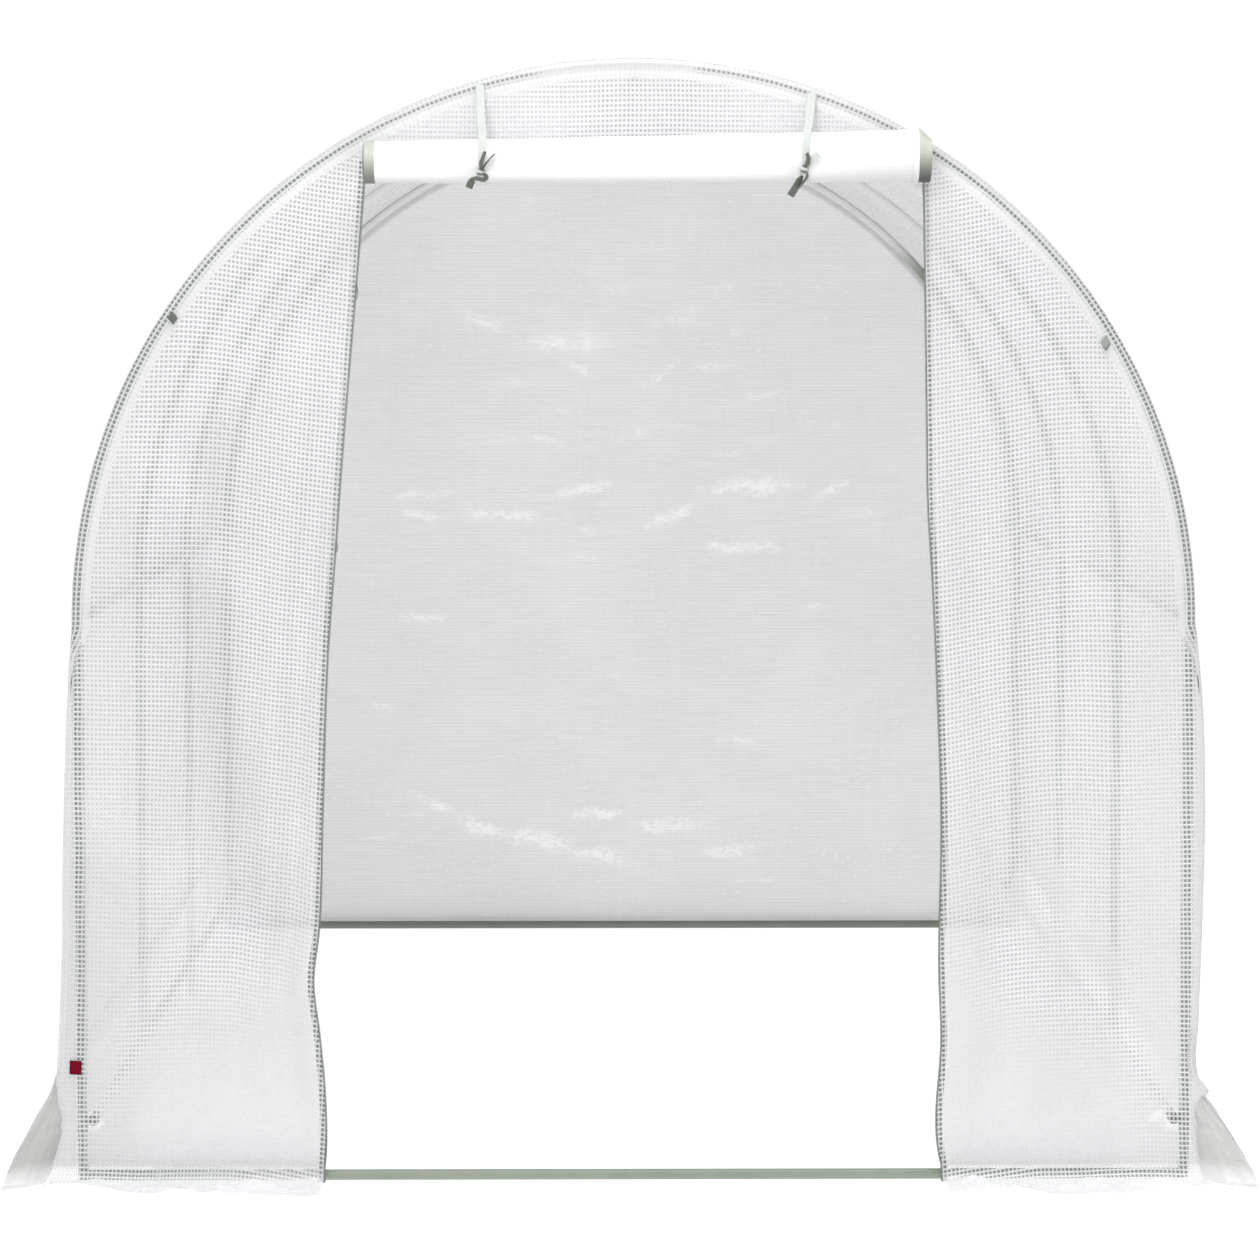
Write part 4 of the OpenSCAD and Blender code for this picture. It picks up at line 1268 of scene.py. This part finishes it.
def build_tag():
    """The small red tag in the seam, plain, with a line of stitches."""
    n = 16
    u = np.linspace(-0.5, 0.5, n)
    U, W = np.meshgrid(u, u, indexing="ij")
    X = -0.9985 + U * 0.0210 + W * 0.0008
    Z = 0.2073 + W * 0.0250 - U * 0.0014
    Y = FRONT - 0.0040 - 0.0016 * np.cos(U * 4.0) * np.cos(W * 3.0) - 0.0006 * fbm(U * 3, W * 3, 811, 2)
    P = np.stack([X, Y, Z], -1)
    uv = np.stack([U * 0.021, W * 0.025], -1)
    ob = grid_mesh("seam_tag_sheet", P, uv)
    piece(ob, TAG, ["seam_tag"])
    # a stitched border
    a = np.concatenate([
        np.stack([np.linspace(-0.42, 0.42, 9), np.full(9, 0.43)], -1), np.stack([np.full(9, 0.42), np.linspace(0.36, -0.43, 9)], -1),
        np.stack([np.linspace(0.36, -0.42, 9), np.full(9, -0.43)], -1), np.stack([np.full(9, -0.42), np.linspace(-0.36, 0.36, 9)], -1),
    ])
    C = np.stack([-0.9985 + a[:, 0] * 0.0210 + a[:, 1] * 0.0008, np.full(len(a), FRONT - 0.0050), 0.2073 + a[:, 1] * 0.0250 - a[:, 0] * 0.0014], -1)
    C[:, 1] -= 0.0016 * np.cos(a[:, 0] * 4.0) * np.cos(a[:, 1] * 3.0) - 0.0006
    T = np.roll(C, -1, 0) - np.roll(C, 1, 0)
    blocks("seam_tag_stitches", C, T, np.broadcast_to(np.array([0.0, 1.0, 0.0]), C.shape), (0.0015, 0.0005, 0.0005), TAG)


build_tag()

# ---------------------------------------------------------------- the frame
for n, o in NODES.items():
    if "hoop" in n or "bar" in n or "rail" in n or n == "ridge_purlin":
        o.data.materials.clear()
        if "arch" in n and "front" not in n:
            o.data.materials.append(TUBE_INNER)
        elif "rear_ground" in n:
            o.data.materials.append(TUBE_REAR_SHADED)
        elif "front_ground" in n:
            o.data.materials.append(TUBE_FRONT_LIT)
        else:
            o.data.materials.append(TUBE)


def turned(name, profile, origin, axis, material, sides=20):
    """A turned piece: rings of (along, radius) round an axis."""
    axis = Vector(axis).normalized()
    a = axis.orthogonal().normalized()
    b = axis.cross(a)
    o = Vector(origin)
    V, F = [], []
    for k, (h, r) in enumerate(profile):
        for j in range(sides):
            t = 2 * math.pi * j / sides
            V.append(tuple(o + axis * h + (a * math.cos(t) + b * math.sin(t)) * r))
    m = len(profile)
    for k in range(m - 1):
        for j in range(sides):
            j2 = (j + 1) % sides
            F.append((k * sides + j, k * sides + j2, (k + 1) * sides + j2, (k + 1) * sides + j))
    F.append(tuple(range(sides))[::-1])
    F.append(tuple((m - 1) * sides + j for j in range(sides)))
    ob = soup(name, V, F, smooth=False)
    piece(ob, material, ())
    return ob


# Plugs in the base rails' ends
for side, sx in (("left", -1), ("right", 1)):
    for rail, z in (("base", 0.110),):
        for end, sy in (("front", -1), ("rear", 1)):
            turned(
                "%s_%s_rail_plug_%s" % (side, rail, end),
                [(-0.006, 0.0078), (-0.0002, 0.0080), (0.0, 0.0094), (0.0005, 0.0094), (0.0008, 0.0088), (0.0009, 0.0060)],
                (sx * 0.9683, sy * 1.4970, z), (0, sy, 0), DARK,
            )

# ---------------------------------------------------------------- floor and light
floor = soup("floor", [(-60, -60, 0), (60, -60, 0), (60, 60, 0), (-60, 60, 0)], [(0, 1, 2, 3)])
g = Graph("floor_pale")
floor.data.materials.append(
    g.done(
        g.principled(
            (0.30, 0.30, 0.30), 0.9,
            **{"Specular IOR Level": 0.0, "Emission Color": (1.0, 1.0, 1.0, 1.0), "Emission Strength": 0.94},
        )
    )
)
floor.data.materials[0].cycles.emission_sampling = "NONE"

# A white sweep round the horizon, darker overhead, and softboxes
world = bpy.data.worlds.new("studio")
scene.world = world
world.use_nodes = True
wt = world.node_tree
bg = wt.nodes["Background"]
bg.inputs["Color"].default_value = (1.0, 1.0, 1.0, 1.0)
wc = wt.nodes.new("ShaderNodeTexCoord")
ws = wt.nodes.new("ShaderNodeSeparateXYZ")
wr = wt.nodes.new("ShaderNodeMapRange")
wr.interpolation_type = "SMOOTHSTEP"
wr.inputs["From Min"].default_value = 0.12
wr.inputs["From Max"].default_value = 0.40
wr.inputs["To Min"].default_value = 1.03
wr.inputs["To Max"].default_value = 0.22
wt.links.new(wc.outputs["Generated"], ws.inputs[0])
wt.links.new(ws.outputs["Z"], wr.inputs["Value"])
wt.links.new(wr.outputs["Result"], bg.inputs["Strength"])


def softbox(name, loc, target, w, h, watts):
    l = bpy.data.lights.new(name, "AREA")
    l.shape, l.size, l.size_y, l.energy = "RECTANGLE", w, h, watts
    o = bpy.data.objects.new(name, l)
    scene.collection.objects.link(o)
    o.location = loc
    o.rotation_euler = (Vector(target) - Vector(loc)).to_track_quat("-Z", "Y").to_euler()
    return o


softbox("overhead", (0.3, -2.6, 6.5), (0.1, -0.6, 0.6), 4.5, 3.0, 260)
softbox("key", (-2.2, -9.0, 5.0), (0, -1.5, 1.0), 2.4, 1.8, 170)
softbox("behind", (0.3, 7.6, 2.8), (0, 1.5, 1.0), 4.0, 3.0, 90).visible_camera = False

scene.view_settings.view_transform = "Standard"
scene.view_settings.look = "None"
scene.view_settings.exposure = 0.0
